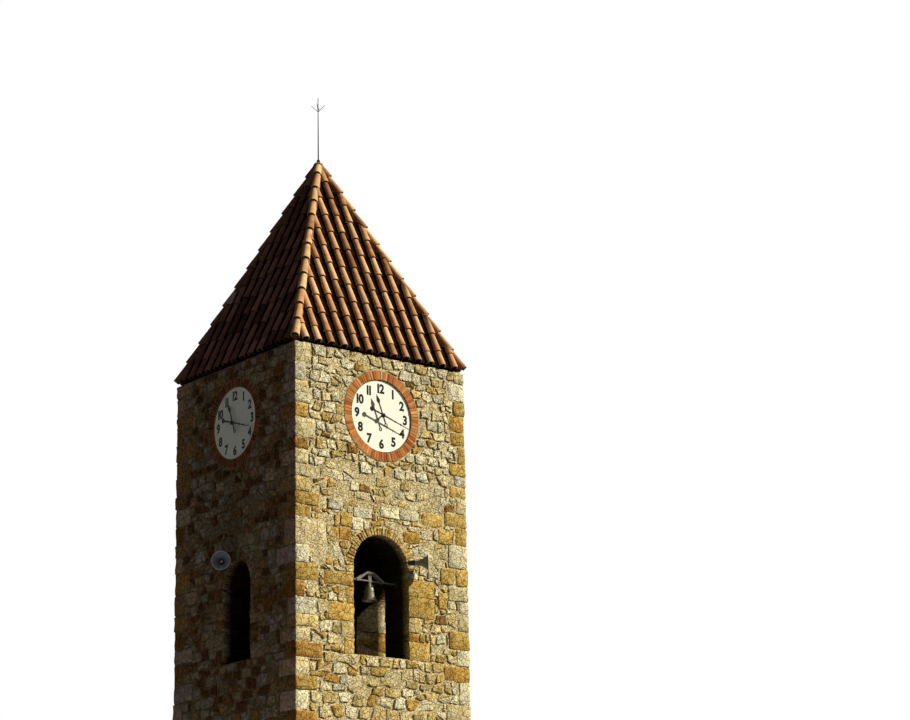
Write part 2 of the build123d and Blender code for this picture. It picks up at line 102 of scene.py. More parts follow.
@dataclass(frozen=True)
class TowerSizes:
    """The tower's main sizes in metres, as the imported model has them."""

    half: float = 1.95
    wall: float = 0.70
    belfry_floor: float = 7.40
    wall_top: float = 13.0
    wide_radius: float = 0.625
    wide_shift: float = -0.060
    wide_springing: float = 8.995
    narrow_radius: float = 0.462
    narrow_shift: float = 0.094
    narrow_springing: float = 8.813
    arch_ring: float = 0.14
    dial_level: float = 11.87
    dial_radius: float = 0.688
    dial_recess: float = 0.016
    brick_ring: float = 0.175
    pitch: float = math.radians(65.74)
    roof_reach: float = 1.925
    plate_inset: float = 0.11
    bell_level: float = 8.466
    axle_level: float = 8.830

    @property
    def slope(self) -> float:
        """Rise of the roof for each metre inwards."""
        return math.tan(self.pitch)

    @property
    def apex(self) -> float:
        """Level where the four roof planes meet."""
        return self.wall_top + 0.02 + self.half * self.slope

    def opening(self, side: Side) -> float:
        """Radius of the arch on a side, which is half its opening's width."""
        return self.wide_radius if side.wide else self.narrow_radius

    def shift(self, side: Side) -> float:
        """How far the opening lies to the right of the side's middle."""
        return self.wide_shift if side.wide else self.narrow_shift

    def springing(self, side: Side) -> float:
        """Level where the arch of a side begins."""
        return self.wide_springing if side.wide else self.narrow_springing


TOWER = TowerSizes()


class Bench:
    """The hand tools that every piece of the tower is made with."""

    @staticmethod
    def put_down() -> None:
        """Leaves edit mode and deselects everything."""
        active = bpy.context.view_layer.objects.active
        if active is not None and active.mode != "OBJECT":
            bpy.ops.object.mode_set(mode="OBJECT")
        bpy.ops.object.select_all(action="DESELECT")

    @staticmethod
    def pick_up(*pieces: Piece) -> Piece:
        """Selects pieces and nothing else.

        Args:
            pieces: The pieces, the first of which becomes the active one.

        Returns:
            The first piece.
        """
        Bench.put_down()
        for piece in pieces:
            piece.select_set(True)
        bpy.context.view_layer.objects.active = pieces[0]
        return pieces[0]

    @staticmethod
    def open(piece: Piece) -> None:
        """Opens a piece for shaping with all of it selected."""
        Bench.pick_up(piece)
        bpy.ops.object.mode_set(mode="EDIT")
        bpy.ops.mesh.select_mode(type="FACE")
        bpy.ops.mesh.select_all(action="SELECT")

    @staticmethod
    def mark_faces(piece: Piece, test: Test) -> None:
        """Selects the faces of an opened piece that pass a test, and no others.

        Args:
            piece: The piece, in edit mode.
            test: Takes a face.
        """
        shell = bmesh.from_edit_mesh(piece.data)
        for face in shell.faces:
            face.select_set(test(face))
        shell.select_flush_mode()
        bmesh.update_edit_mesh(piece.data)

    @staticmethod
    def drop(piece: Piece, test: Test) -> None:
        """Deletes the faces of an opened piece that pass a test."""
        Bench.mark_faces(piece, test)
        bpy.ops.mesh.delete(type="FACE")

    @staticmethod
    def cut(place: Iterable[float], normal: Iterable[float], fill: bool = True) -> None:
        """Cuts all of the opened piece along a plane and drops what lies beyond it.

        Args:
            place: A point of the plane.
            normal: The way out of what is kept.
            fill: Whether the cut is closed.
        """
        bpy.ops.mesh.select_all(action="SELECT")
        Bench.bisect(place, normal, fill)

    @staticmethod
    def bisect(place: Iterable[float], normal: Iterable[float], fill: bool = False) -> None:
        """Cuts the selected faces of the opened piece, as cut does with all of them."""
        plane = {"plane_co": tuple(place), "plane_no": tuple(normal)}
        bpy.ops.mesh.bisect(**plane, clear_outer=True, use_fill=fill)

    @staticmethod
    def close(piece: Piece) -> Piece:
        """Ends the shaping of a piece and lays its place into its mesh.

        Args:
            piece: The piece in hand.

        Returns:
            The same piece, with its object at the origin.
        """
        Bench.pick_up(piece)
        bpy.ops.object.transform_apply(location=True, rotation=True, scale=True)
        return piece

    @staticmethod
    def join(pieces: list[Piece]) -> Piece:
        """Joins pieces into the first of them, with its place laid into its mesh.

        Args:
            pieces: One or more pieces.

        Returns:
            The joined piece.
        """
        Bench.pick_up(*pieces)
        if len(pieces) > 1:
            bpy.ops.object.join()
        return Bench.close(pieces[0])

    @staticmethod
    def copies(pattern: Piece, places: Iterable[Matrix]) -> Piece:
        """Copies a finished pattern to many places, each copy with its own mesh, and joins the copies.

        Args:
            pattern: The pattern, which is used up.
            places: Where the pattern's own origin goes, one matrix a copy.

        Returns:
            The joined copies.
        """
        Bench.put_down()
        made = []
        for place in places:
            copy = pattern.copy()
            copy.data = pattern.data.copy()
            copy.matrix_world = place
            bpy.context.scene.collection.objects.link(copy)
            made.append(copy)
        bpy.data.objects.remove(pattern)
        return Bench.join(made)

    @staticmethod
    def shape(add: Callable[..., object], **settings: object) -> Piece:
        """Makes one of Blender's basic shapes.

        Args:
            add: Blender's command that adds the shape.
            settings: The command's own settings.

        Returns:
            The shape, with its object at the origin.
        """
        Bench.put_down()
        add(**settings)
        return Bench.close(bpy.context.object)

    @staticmethod
    def block(low: Vector, high: Vector) -> Piece:
        """A block between two corners, ready to be dressed.

        Args:
            low: The lowest corner.
            high: The highest corner.

        Returns:
            The block.
        """
        Bench.put_down()
        bpy.ops.mesh.primitive_cube_add(size=1.0, location=(Vector(low) + Vector(high)) / 2)
        piece = bpy.context.object
        piece.scale = Vector(high) - Vector(low)
        return Bench.close(piece)

    @staticmethod
    def wedge(low: Vector, high: Vector, foot: float, place: Matrix) -> Piece:
        """A block with a narrower foot, set in its place.

        Args:
            low: The lowest corner.
            high: The highest corner.
            foot: Width of the foot as a share of the block's.
            place: Where the block goes.

        Returns:
            The wedge.
        """
        piece = Bench.block(low, high)
        Bench.open(piece)
        Bench.mark_faces(piece, lambda face: face.normal.z < -0.5)
        bpy.ops.transform.resize(value=(foot, 1, 1))
        Bench.put_down()
        piece.data.transform(place)
        return piece

    @staticmethod
    def apply(piece: Piece, kind: str, **settings: object) -> None:
        """Adds a modifier with its settings and applies it.

        Args:
            piece: The piece.
            kind: The modifier's type.
            settings: Values for the modifier's fields.
        """
        Bench.pick_up(piece)
        modifier = piece.modifiers.new(kind.title(), kind)
        for name, value in settings.items():
            setattr(modifier, name, value)
        bpy.ops.object.modifier_apply(modifier=modifier.name)

    @staticmethod
    def bevel(piece: Piece, width: float, segments: int = 1) -> None:
        """Takes off the sharp edges of a piece."""
        limit = {"limit_method": "ANGLE", "angle_limit": math.radians(50)}
        Bench.apply(piece, "BEVEL", width=width, segments=segments, **limit)

    @staticmethod
    def jog(amount: float, seed: int) -> None:
        """Moves each selected corner of the opened piece by up to an amount."""
        bpy.ops.transform.vertex_random(offset=amount, uniform=1.0, normal=0.0, seed=seed)

    @staticmethod
    def roughen(piece: Piece, amount: float, seed: int) -> None:
        """Knocks every corner of a piece out of true by up to an amount in metres.

        Args:
            piece: The piece.
            amount: The largest move in metres.
            seed: Fixes the pattern.
        """
        Bench.open(piece)
        Bench.jog(amount, seed)
        Bench.put_down()

    @staticmethod
    def smooth(piece: Piece, angle: float = 35.0) -> None:
        """Shades a piece smooth, with creases over an angle in degrees kept sharp."""
        Bench.pick_up(piece)
        bpy.ops.object.shade_smooth_by_angle(angle=math.radians(angle))

    @staticmethod
    def label(piece: Piece) -> tuple[np.ndarray, np.ndarray]:
        """Numbers the loose stones or tiles of a joined piece.

        Args:
            piece: The joined piece.

        Returns:
            The number of each corner point's stone, and the centre of each stone.
        """
        mesh = piece.data
        count = len(mesh.vertices)
        places = np.empty(count * 3)
        mesh.vertices.foreach_get("co", places)
        places = places.reshape(-1, 3)
        ends = np.empty(len(mesh.edges) * 2, dtype=np.int64)
        mesh.edges.foreach_get("vertices", ends)
        first, second = ends[0::2], ends[1::2]
        number = np.arange(count)
        while True:
            before = number.copy()
            least = np.minimum(number[first], number[second])
            np.minimum.at(number, first, least)
            np.minimum.at(number, second, least)
            number = number[number]
            if (number == before).all():
                break
        _, number = np.unique(number, return_inverse=True)
        share = np.bincount(number)
        centres = np.stack([np.bincount(number, places[:, axis]) / share for axis in range(3)], axis=1)
        return number, centres

    @staticmethod
    def tone(piece: Piece, choose: Chooser, seed: int, darker: float = 0.0) -> None:
        """Gives each loose stone or tile its own kind and its own lightness, which the materials read.

        Args:
            piece: The joined piece.
            choose: Takes a stone's centre and returns its place on the material's ramp.
            seed: Fixes the lightnesses.
            darker: How much darker than usual the whole piece is, from 0 to 1.
        """
        number, centres = Bench.label(piece)
        chance = random.Random(seed)
        kinds = np.array([choose(Vector(centre)) for centre in centres], dtype=np.float32)
        shades = np.array([chance.random() - darker for _ in centres], dtype=np.float32)
        mesh = piece.data
        starts = np.empty(len(mesh.polygons), dtype=np.int64)
        mesh.polygons.foreach_get("loop_start", starts)
        corners = np.empty(len(mesh.loops), dtype=np.int64)
        mesh.loops.foreach_get("vertex_index", corners)
        owner = number[corners[starts]]
        for name, values in (("kind", kinds), ("shade", shades)):
            layer = mesh.attributes.new(name, "FLOAT", "FACE")
            layer.data.foreach_set("value", values[owner])

    @staticmethod
    def settle(piece: Piece, sink: Chooser, depth: float, tilt: float, seed: int) -> None:
        """Lets each loose stone of a front face stand deeper, smaller or more tilted than its neighbours.

        Args:
            piece: The joined stones, which look along -Y.
            sink: Takes a stone's centre and returns how far it is pushed in.
            depth: The largest random move in or out in metres.
            tilt: The largest random slope of a stone.
            seed: Fixes the unevenness.
        """
        number, centres = Bench.label(piece)
        chance = np.random.default_rng(seed)
        moves = chance.uniform(-depth, depth, len(centres)) + [sink(Vector(centre)) for centre in centres]
        slopes = chance.uniform(-tilt, tilt, (2, len(centres)))
        places = np.empty(len(number) * 3)
        piece.data.vertices.foreach_get("co", places)
        places = places.reshape(-1, 3)
        away = places - centres[number]
        sizes = 1.0 - 0.22 * chance.random(len(centres)) ** 1.5
        places[:, 0::2] = centres[number][:, 0::2] + away[:, 0::2] * sizes[number][:, None]
        places[:, 1] += moves[number] + slopes[0][number] * away[:, 0] + slopes[1][number] * away[:, 2]
        piece.data.vertices.foreach_set("co", places.ravel())
        piece.data.update()

    @staticmethod
    def hand_over(piece: Piece, name: str, material: Material, slot: str, body: str = "tower") -> None:
        """Names and dresses a finished piece and hangs it on its body.

        Args:
            piece: The finished piece.
            name: Its name in the table.
            material: Its only material.
            slot: A material slot's name, which is not used.
            body: The body that it moves with.
        """
        piece.name = name
        piece.data.name = name
        piece.data.materials.clear()
        piece.data.materials.append(material)
        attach(piece, body)
        LOG.info("%s: %d faces, rides on %s", name, len(piece.data.polygons), body)


class Recipe:
    """A material's nodes, put together one after another."""

    def __init__(self, name: str) -> None:
        """Starts an empty material.

        Args:
            name: The material's name.
        """
        self.material = bpy.data.materials.new(name)
        self.material.use_nodes = True
        self.tree = self.material.node_tree
        self.shader = self.tree.nodes["Principled BSDF"]
        self.place = self.node("ShaderNodeTexCoord").outputs["Object"]

    def node(self, kind: str, **settings: object) -> bpy.types.ShaderNode:
        """Adds a node and sets its fields."""
        made = self.tree.nodes.new(kind)
        for name, value in settings.items():
            setattr(made, name, value)
        return made

    def made(self, kind: str, out: str, inputs: dict[str | int, object], **settings: object) -> Socket:
        """Adds a node, sets its fields and fills its inputs.

        Args:
            kind: The node's type.
            out: The name of the output that is wanted.
            inputs: What goes into the inputs, by their names or numbers.
            settings: Values for the node's fields.

        Returns:
            The output.
        """
        node = self.node(kind, **settings)
        for name, source in inputs.items():
            self.plug(source, node.inputs[name])
        return node.outputs[out]

    def plug(self, source: object, socket: Socket) -> None:
        """Puts a value, a colour or another node's output into a socket.

        Args:
            source: The value, the colour or the output.
            socket: The input that takes it.
        """
        if isinstance(source, Socket):
            self.tree.links.new(source, socket)
        elif isinstance(source, tuple) and len(source) == 3 and socket.type == "RGBA":
            socket.default_value = (*source, 1.0)
        else:
            socket.default_value = source

    def stretched(self, scale: Colour) -> Socket:
        """The object's coordinates, stretched."""
        return self.made("ShaderNodeMapping", "Vector", {"Vector": self.place, "Scale": scale})

    def axis(self, letter: str, place: object = None) -> Socket:
        """One of the three coordinates of a place, if not of the object's own."""
        return self.made("ShaderNodeSeparateXYZ", letter, {"Vector": place or self.place})

    def noise(
        self, scale: float, detail: float = 4.0, rough: float = 0.6, place: object = None
    ) -> Socket:
        """A cloudy pattern from 0 to 1, by its clouds to the metre, its octaves and their strength."""
        inputs = {"Vector": place or self.place, "Scale": scale, "Detail": detail, "Roughness": rough}
        return self.made("ShaderNodeTexNoise", "Fac", inputs)

    def warped(self, scale: float, amount: float) -> Socket:
        """The object's coordinates, pushed about by a cloudy pattern.

        Args:
            scale: Clouds to the metre.
            amount: The largest push in metres.

        Returns:
            The coordinates.
        """
        clouds = self.made("ShaderNodeTexNoise", "Color", {"Vector": self.place, "Scale": scale})
        push = {0: clouds, 1: (amount, amount, amount), 2: self.place}
        return self.made("ShaderNodeVectorMath", "Vector", push, operation="MULTIPLY_ADD")

    def cracks(self, scale: float, width: float, depth: float) -> Socket:
        """Lightness that falls to a depth along crooked cracks."""
        lines = self.cells(scale, "DISTANCE_TO_EDGE", self.warped(scale * 1.6, 0.9 / scale))
        return self.levels(lines, 0.0, width, depth, 1.0)

    def cells(self, scale: float, feature: str = "F1", place: object = None) -> Socket:
        """Distance in a pattern of pebbly cells."""
        inputs = {"Vector": place or self.place, "Scale": scale}
        return self.made("ShaderNodeTexVoronoi", "Distance", inputs, feature=feature)

    def attribute(self, name: str) -> Socket:
        """A value that the piece's faces carry."""
        fields = {"attribute_name": name, "attribute_type": "GEOMETRY"}
        return self.made("ShaderNodeAttribute", "Fac", {}, **fields)

    def levels(
        self, value: object, low: float, high: float, out_low: float = 0.0, out_high: float = 1.0
    ) -> Socket:
        """A value moved from one range to another, and held inside it."""
        inputs = {"Value": value, "From Min": low, "From Max": high, "To Min": out_low, "To Max": out_high}
        return self.made("ShaderNodeMapRange", "Result", inputs)

    def calc(self, first: object, second: object, operation: str = "ADD") -> Socket:
        """Two values put together by an operation."""
        return self.made("ShaderNodeMath", "Value", {0: first, 1: second}, operation=operation)

    def ramp(self, value: object, stops: Stops) -> Socket:
        """A colour picked along a row of colours.

        Args:
            value: Where to pick, from 0 to 1.
            stops: Places and their colours, in order.

        Returns:
            The colour.
        """
        made = self.node("ShaderNodeValToRGB")
        row = made.color_ramp.elements
        while len(row) > 1:
            row.remove(row[-1])
        for index, (place, colour) in enumerate(stops):
            stop = row[0] if index == 0 else row.new(place)
            stop.position = place
            stop.color = (*colour, 1.0)
        self.plug(value, made.inputs["Fac"])
        return made.outputs["Color"]

    def mix(self, share: object, first: object, second: object, way: str = "MIX") -> Socket:
        """Two colours mixed by a share, in one of Blender's ways."""
        inputs = {"Factor": share, "A": first, "B": second}
        return self.made("ShaderNodeMix", "Result", inputs, data_type="RGBA", blend_type=way)

    def scaled(self, colour: object, value: object) -> Socket:
        """A colour made lighter or darker by a value."""
        inputs = {0: colour, "Scale": value}
        return self.made("ShaderNodeVectorMath", "Vector", inputs, operation="SCALE")

    def bump(self, height: object, depth: float, strength: float = 1.0) -> None:
        """Lets a height pattern raise the surface by up to a depth in metres."""
        inputs = {"Height": height, "Distance": depth, "Strength": strength}
        self.plug(self.made("ShaderNodeBump", "Normal", inputs), self.shader.inputs["Normal"])

    def within(self, inside: float) -> Socket:
        """Painted shade: lightness from 1 on the tower's outer faces to a lower value inside it, which
        lies in shade.
        """
        far_x, far_y = (self.calc(self.axis(letter), 0.0, "ABSOLUTE") for letter in "XY")
        far = self.calc(far_x, far_y, "MAXIMUM")
        return self.levels(far, TOWER.half - 0.20, TOWER.half - 0.02, inside, 1.0)

    def leftward(self) -> Socket:
        """One on the skin of the left face, where painted shade goes, and nought elsewhere."""
        return self.levels(self.axis("X"), -TOWER.half - 0.006, -TOWER.half + 0.012, 1.0, 0.0)

    def streak(self) -> Socket:
        """Lightness that falls where water has run down the left face under its clock.

        Returns:
            The lightness, from 0.66 to 1.
        """
        place = self.warped(3.0, 0.24)
        across, rise = (
            self.calc(self.calc(self.axis(letter, place), middle, "SUBTRACT"), 0.0, "ABSOLUTE")
            for letter, middle in (("Y", 0.12), ("Z", 10.22))
        )
        sides = self.levels(across, 0.08, 0.48, 0.66, 1.0)
        return self.calc(sides, self.levels(rise, 0.60, 1.10), "MAXIMUM")

    def finish(
        self, colour: object, roughness: object, metallic: float = 0.0, gloss: float = 0.0
    ) -> Material:
        """Sets the shader's main inputs and returns the material."""
        names = ("Base Color", "Roughness", "Metallic", "Specular IOR Level")
        for source, name in zip((colour, roughness, metallic, gloss), names, strict=True):
            self.plug(source, self.shader.inputs[name])
        return self.material


def srgb(red: int, green: int, blue: int) -> Colour:
    """A colour read as screen values from 0 to 255, as the renderer wants it."""
    shares = (value / 255 for value in (red, green, blue))
    return tuple(share / 12.92 if share <= 0.04 else ((share + 0.055) / 1.055) ** 2.4 for share in shares)


@dataclass(frozen=True)
class StoneFinish:
    """Rough stone whose kind and lightness come from each stone's own values."""

    name: str
    relief: float
    dirt: float
    stops: Stops = (
        (0.00, srgb(212, 202, 172)),
        (0.16, srgb(236, 226, 186)),
        (0.30, srgb(242, 227, 180)),
        (0.46, srgb(222, 199, 141)),
        (0.60, srgb(212, 185, 116)),
        (0.74, srgb(206, 168, 86)),
        (0.88, srgb(190, 143, 68)),
        (1.00, srgb(142, 107, 61)),
    )
    streaked: bool = False

    def make(self) -> Material:
        """Builds the material.

        Returns:
            The material.
        """
        mix = Recipe(self.name)
        drift = mix.levels(mix.noise(7.0, 4.0), 0.3, 0.7, -0.12, 0.12)
        colour = mix.ramp(mix.calc(mix.attribute("kind"), drift), self.stops)
        # Shades below nought carry the left face's painted shade.
        shade = mix.levels(mix.attribute("shade"), -1.0, 1.0, 0.40, 1.12)
        cloud = mix.levels(mix.noise(16.0, 8.0, 0.72), 0.34, 0.66, 0.68, 1.18)
        colour = mix.scaled(colour, mix.calc(shade, cloud, "MULTIPLY"))
        pits = mix.levels(mix.cells(32.0), 0.06, 0.30, 0.50, 1.0)
        marks = mix.calc(pits, mix.cracks(9.0, 0.07, 0.38), "MULTIPLY")
        # Pits and cracks mark the stone; inside the tower it gets painted shade.
        colour = mix.scaled(colour, mix.calc(marks, mix.within(0.06), "MULTIPLY"))
        if self.streaked:
            colour = mix.scaled(colour, mix.streak())
        else:
            # Painted shade: the left face's skin darker and purpler.
            colour = mix.mix(mix.leftward(), colour, (0.74, 0.58, 0.66), "MULTIPLY")
        weather = mix.levels(mix.noise(2.3, 8.0, 0.75), 0.52, 0.70, 0.0, self.dirt)
        colour = mix.mix(weather, colour, srgb(88, 76, 56))
        height = mix.calc(mix.noise(17.0, 9.0, 0.7), mix.levels(mix.cells(26.0), 0.0, 0.4, 0.0, 0.6))
        mix.bump(mix.calc(height, marks), self.relief, 1.0)
        return mix.finish(colour, mix.levels(mix.noise(30.0), 0.3, 0.7, 0.84, 0.97))


@dataclass(frozen=True)
class MortarFinish:
    """Lime mortar with sand and small chips, darker inside the tower and on the left face as painted
    shade.
    """

    name: str
    light: Colour
    dark: Colour
    inside: float = 1.0

    def make(self) -> Material:
        """Builds the material.

        Returns:
            The material.
        """
        mix = Recipe(self.name)
        cloud = mix.levels(mix.noise(9.0, 10.0, 0.75), 0.36, 0.64)
        colour = mix.mix(cloud, self.dark, self.light)
        grains = mix.levels(mix.cells(34.0), 0.05, 0.32, 0.45, 1.08)
        marks = mix.calc(grains, mix.cracks(13.0, 0.10, 0.45), "MULTIPLY")
        colour = mix.scaled(colour, marks)
        # Painted shade: far darker inside the tower and on the left face.
        if self.inside < 1.0:
            colour = mix.scaled(colour, mix.within(self.inside))
            colour = mix.mix(mix.leftward(), colour, (0.26, 0.17, 0.17), "MULTIPLY")
        mix.bump(mix.calc(mix.noise(22.0, 9.0, 0.72), marks), 0.022, 1.0)
        return mix.finish(colour, 0.95)


@dataclass(frozen=True)
class ClayFinish:
    """Unglazed clay, mottled along each tile or brick, with its kind from a ramp."""

    name: str
    stops: Stops
    lichen: float

    def make(self) -> Material:
        """Builds the material.

        Returns:
            The material.
        """
        mix = Recipe(self.name)
        drift = mix.levels(mix.noise(5.0, 6.0, 0.7), 0.3, 0.7, -0.15, 0.15)
        colour = mix.ramp(mix.calc(mix.attribute("kind"), drift), self.stops)
        shade = mix.levels(mix.attribute("shade"), 0.0, 1.0, 0.74, 1.16)
        cloud = mix.levels(mix.noise(26.0, 7.0, 0.7), 0.32, 0.68, 0.80, 1.12)
        colour = mix.scaled(colour, mix.calc(shade, cloud, "MULTIPLY"))
        patches = mix.levels(mix.noise(14.0, 8.0, 0.75), 0.56, 0.70, 0.0, self.lichen)
        colour = mix.mix(patches, colour, srgb(78, 62, 46))
        mix.bump(mix.noise(45.0, 8.0, 0.7), 0.004, 0.8)
        return mix.finish(colour, mix.levels(mix.noise(22.0), 0.3, 0.7, 0.78, 0.95))


@dataclass(frozen=True)
class PaintFinish:
    """Paint or bare metal with grime in patches and fine scratches."""

    name: str
    colour: Colour
    grime: Colour
    amount: float
    roughness: float
    metallic: float = 0.0
    scale: float = 18.0

    def make(self) -> Material:
        """Builds the material.

        Returns:
            The material.
        """
        mix = Recipe(self.name)
        cloud = mix.levels(mix.noise(self.scale, 8.0, 0.72), 0.42, 0.72, 0.0, self.amount)
        colour = mix.mix(cloud, self.colour, self.grime)
        fine = mix.levels(mix.noise(self.scale * 9, 4.0), 0.3, 0.7, 0.90, 1.06)
        colour = mix.scaled(colour, fine)
        mix.bump(mix.noise(self.scale * 6, 5.0), 0.0012, 0.5)
        rough = mix.levels(cloud, 0.0, 1.0, self.roughness, min(1.0, self.roughness + 0.3))
        return mix.finish(colour, rough, self.metallic, 0.06)


@dataclass(frozen=True)
class BoardFinish:
    """Old boards side by side, with grain along them and dark gaps."""

    name: str
    width: float = 0.18
    stops: Stops = ((0.25, srgb(66, 50, 36)), (0.5, srgb(98, 76, 54)), (0.75, srgb(122, 98, 72)))

    def make(self) -> Material:
        """Builds the material.

        Returns:
            The material.
        """
        mix = Recipe(self.name)
        across = mix.calc(mix.axis("X"), self.width, "DIVIDE")
        board = mix.calc(across, 0.0, "FLOOR")
        within = mix.calc(across, board, "SUBTRACT")
        gap = mix.levels(mix.calc(within, 0.5, "SUBTRACT"), -0.5, -0.47, 0.15, 1.0)
        grain = mix.noise(6.0, 8.0, 0.7, mix.stretched((9.0, 1.0, 1.0)))
        colour = mix.ramp(grain, self.stops)
        pick = mix.made("ShaderNodeTexWhiteNoise", "Value", {"W": board}, noise_dimensions="1D")
        colour = mix.scaled(colour, mix.levels(pick, 0.0, 1.0, 0.75, 1.1))
        colour = mix.scaled(colour, gap)
        mix.bump(mix.calc(grain, gap), 0.004, 0.7)
        return mix.finish(colour, 0.88)


class Finishes:
    """All the finishes of the tower, built once."""

    def __init__(self) -> None:
        """Builds every material."""
        self.rubble = StoneFinish("rubble", 0.024, 0.40).make()
        self.dressed = StoneFinish("dressed_stone", 0.016, 0.30).make()
        # The left face's stone: stops darker and pinker than the rubble's as painted shade, with a water
        # streak under its clock.
        self.stained = StoneFinish(
            "stained_stone",
            0.024,
            0.35,
            (
                (0.00, srgb(200, 182, 164)),
                (0.16, srgb(214, 192, 164)),
                (0.30, srgb(220, 194, 158)),
                (0.46, srgb(206, 172, 130)),
                (0.60, srgb(188, 148, 102)),
                (0.74, srgb(176, 130, 78)),
                (0.88, srgb(150, 100, 58)),
                (1.00, srgb(112, 76, 50)),
            ),
            True,
        ).make()
        self.mortar = MortarFinish("lime_mortar", srgb(228, 212, 164), srgb(176, 154, 106), 0.07).make()
        self.cap = MortarFinish("roof_mortar", srgb(160, 132, 98), srgb(96, 76, 54)).make()
        self.flags = MortarFinish("floor_flags", srgb(150, 142, 126), srgb(110, 102, 88)).make()
        # The ramp's near-black low end is painted shade, taken by the channel tiles between the covers.
        self.tile = ClayFinish(
            "barrel_tile",
            (
                (0.00, srgb(28, 19, 14)),
                (0.16, srgb(90, 60, 40)),
                (0.34, srgb(156, 108, 74)),
                (0.52, srgb(190, 142, 98)),
                (0.70, srgb(208, 166, 120)),
                (0.86, srgb(220, 184, 138)),
                (1.00, srgb(226, 214, 200)),
            ),
            0.50,
        ).make()
        # The left slope's tile, darker and plum-brown: painted shade.
        self.old_tile = ClayFinish(
            "old_tile",
            (
                (0.00, srgb(20, 13, 12)),
                (0.34, srgb(112, 72, 58)),
                (0.52, srgb(138, 92, 74)),
                (0.86, srgb(164, 118, 96)),
                (1.00, srgb(184, 160, 150)),
            ),
            0.55,
        ).make()
        self.brick = ClayFinish(
            "red_brick",
            ((0.0, srgb(162, 84, 42)), (0.5, srgb(204, 122, 64)), (1.0, srgb(222, 156, 94))),
            0.30,
        ).make()
        # The left clock's brick, darker: painted shade.
        self.old_brick = ClayFinish(
            "old_brick",
            ((0.0, srgb(104, 46, 32)), (0.5, srgb(136, 66, 44)), (1.0, srgb(164, 92, 62))),
            0.40,
        ).make()
        self.joints = PaintFinish("brick_joint", srgb(158, 134, 88), srgb(104, 80, 52), 0.6, 0.95).make()
        # The boarding and wall plate are near black: painted shade under the tiles and in the recess below
        # the eave.
        self.deck = PaintFinish("roof_deck", srgb(34, 25, 19), srgb(20, 15, 12), 0.6, 0.95).make()
        self.boards = BoardFinish("floor_boards").make()
        self.enamel = PaintFinish(
            "dial_enamel", srgb(246, 244, 224), srgb(222, 217, 190), 0.28, 0.35, 0.0, 7.0
        ).make()
        self.black = PaintFinish("hand_black", srgb(10, 10, 14), srgb(26, 25, 26), 0.4, 0.5).make()
        self.iron = PaintFinish("rod_iron", srgb(44, 42, 42), srgb(86, 62, 44), 0.4, 0.6, 0.3).make()
        self.bronze = PaintFinish(
            "bell_bronze", srgb(122, 114, 92), srgb(56, 56, 46), 0.7, 0.45, 0.55
        ).make()
        self.worn = PaintFinish("yoke_iron", srgb(116, 110, 98), srgb(58, 50, 42), 0.6, 0.5, 0.25).make()
        self.horn = PaintFinish("horn_paint", srgb(150, 148, 122), srgb(104, 98, 76), 0.5, 0.5).make()
        self.horn_pale = PaintFinish("horn_pale", srgb(148, 152, 164), srgb(96, 98, 110), 0.4, 0.5).make()
        self.horn_lip = PaintFinish("horn_lip", srgb(238, 234, 214), srgb(190, 182, 156), 0.3, 0.45).make()
        self.driver = PaintFinish("driver_paint", srgb(60, 58, 54), srgb(84, 74, 62), 0.4, 0.6).make()
        self.bracket = PaintFinish(
            "bracket_steel", srgb(40, 38, 38), srgb(84, 60, 42), 0.5, 0.65, 0.2
        ).make()


Row = tuple[float, float, float, float, Tone]


@dataclass(frozen=True)
class Stone:
    """One dressed block on a face: left, right, bottom, top in metres, and its kind."""

    left: float
    right: float
    bottom: float
    top: float
    tone: Tone

    @classmethod
    def rows(cls, *rows: Row) -> tuple["Stone", ...]:
        """The blocks of a table's rows."""
        return tuple(cls(*row) for row in rows)


FRONT_STONES = Stone.rows(
    (-0.71, -0.47, 9.66, 9.89, PALE), (-0.06, 0.37, 9.97, 10.15, PALE),
    (0.39, 0.82, 9.97, 10.15, PALE), (-0.66, -0.26, 9.91, 10.07, GREY),
    (-1.24, -0.92, 9.99, 10.17, GREY), (-1.09, -0.99, 9.68, 9.89, GOLD),
    (-0.96, -0.72, 9.70, 9.93, GOLD), (-0.99, -0.73, 9.45, 9.66, RUST),
    (-1.18, -1.01, 9.39, 9.63, GOLD), (0.47, 0.83, 9.56, 9.75, RUST),
    (0.87, 1.13, 9.67, 9.81, PALE), (0.91, 1.39, 9.92, 10.16, GOLD),
    (1.29, 1.60, 9.63, 9.89, GOLD), (1.33, 1.62, 8.88, 9.17, GOLD),
    (1.26, 1.45, 8.41, 8.70, GOLD),
)

LEFT_STONES = Stone.rows(
    (-1.66, -1.16, 8.68, 8.90, CREAM), (1.02, 1.32, 10.55, 10.77, CREAM),
    (-0.57, -0.34, 10.65, 10.81, CREAM), (0.66, 1.23, 8.16, 8.51, RUST),
    (1.11, 1.32, 9.03, 9.27, GREY), (-1.25, -0.95, 9.42, 9.62, GREY),
)

RIGHT_STONES = Stone.rows(
    (-1.20, -0.84, 9.30, 9.52, GOLD), (0.70, 1.10, 9.75, 9.95, PALE),
    (1.00, 1.36, 8.55, 8.78, RUST), (-0.40, -0.10, 10.30, 10.47, CREAM),
    (-1.15, -0.75, 11.30, 11.50, GOLD), (0.35, 0.72, 11.80, 12.02, GREY),
)

BACK_STONES = Stone.rows(
    (-1.25, -0.95, 9.72, 9.95, GOLD), (0.92, 1.25, 9.58, 9.82, RUST),
    (-0.25, 0.15, 10.10, 10.30, PALE), (0.40, 0.80, 11.20, 11.42, CREAM),
    (-1.00, -0.62, 11.75, 11.97, GOLD), (0.95, 1.25, 8.45, 8.68, CREAM),
)

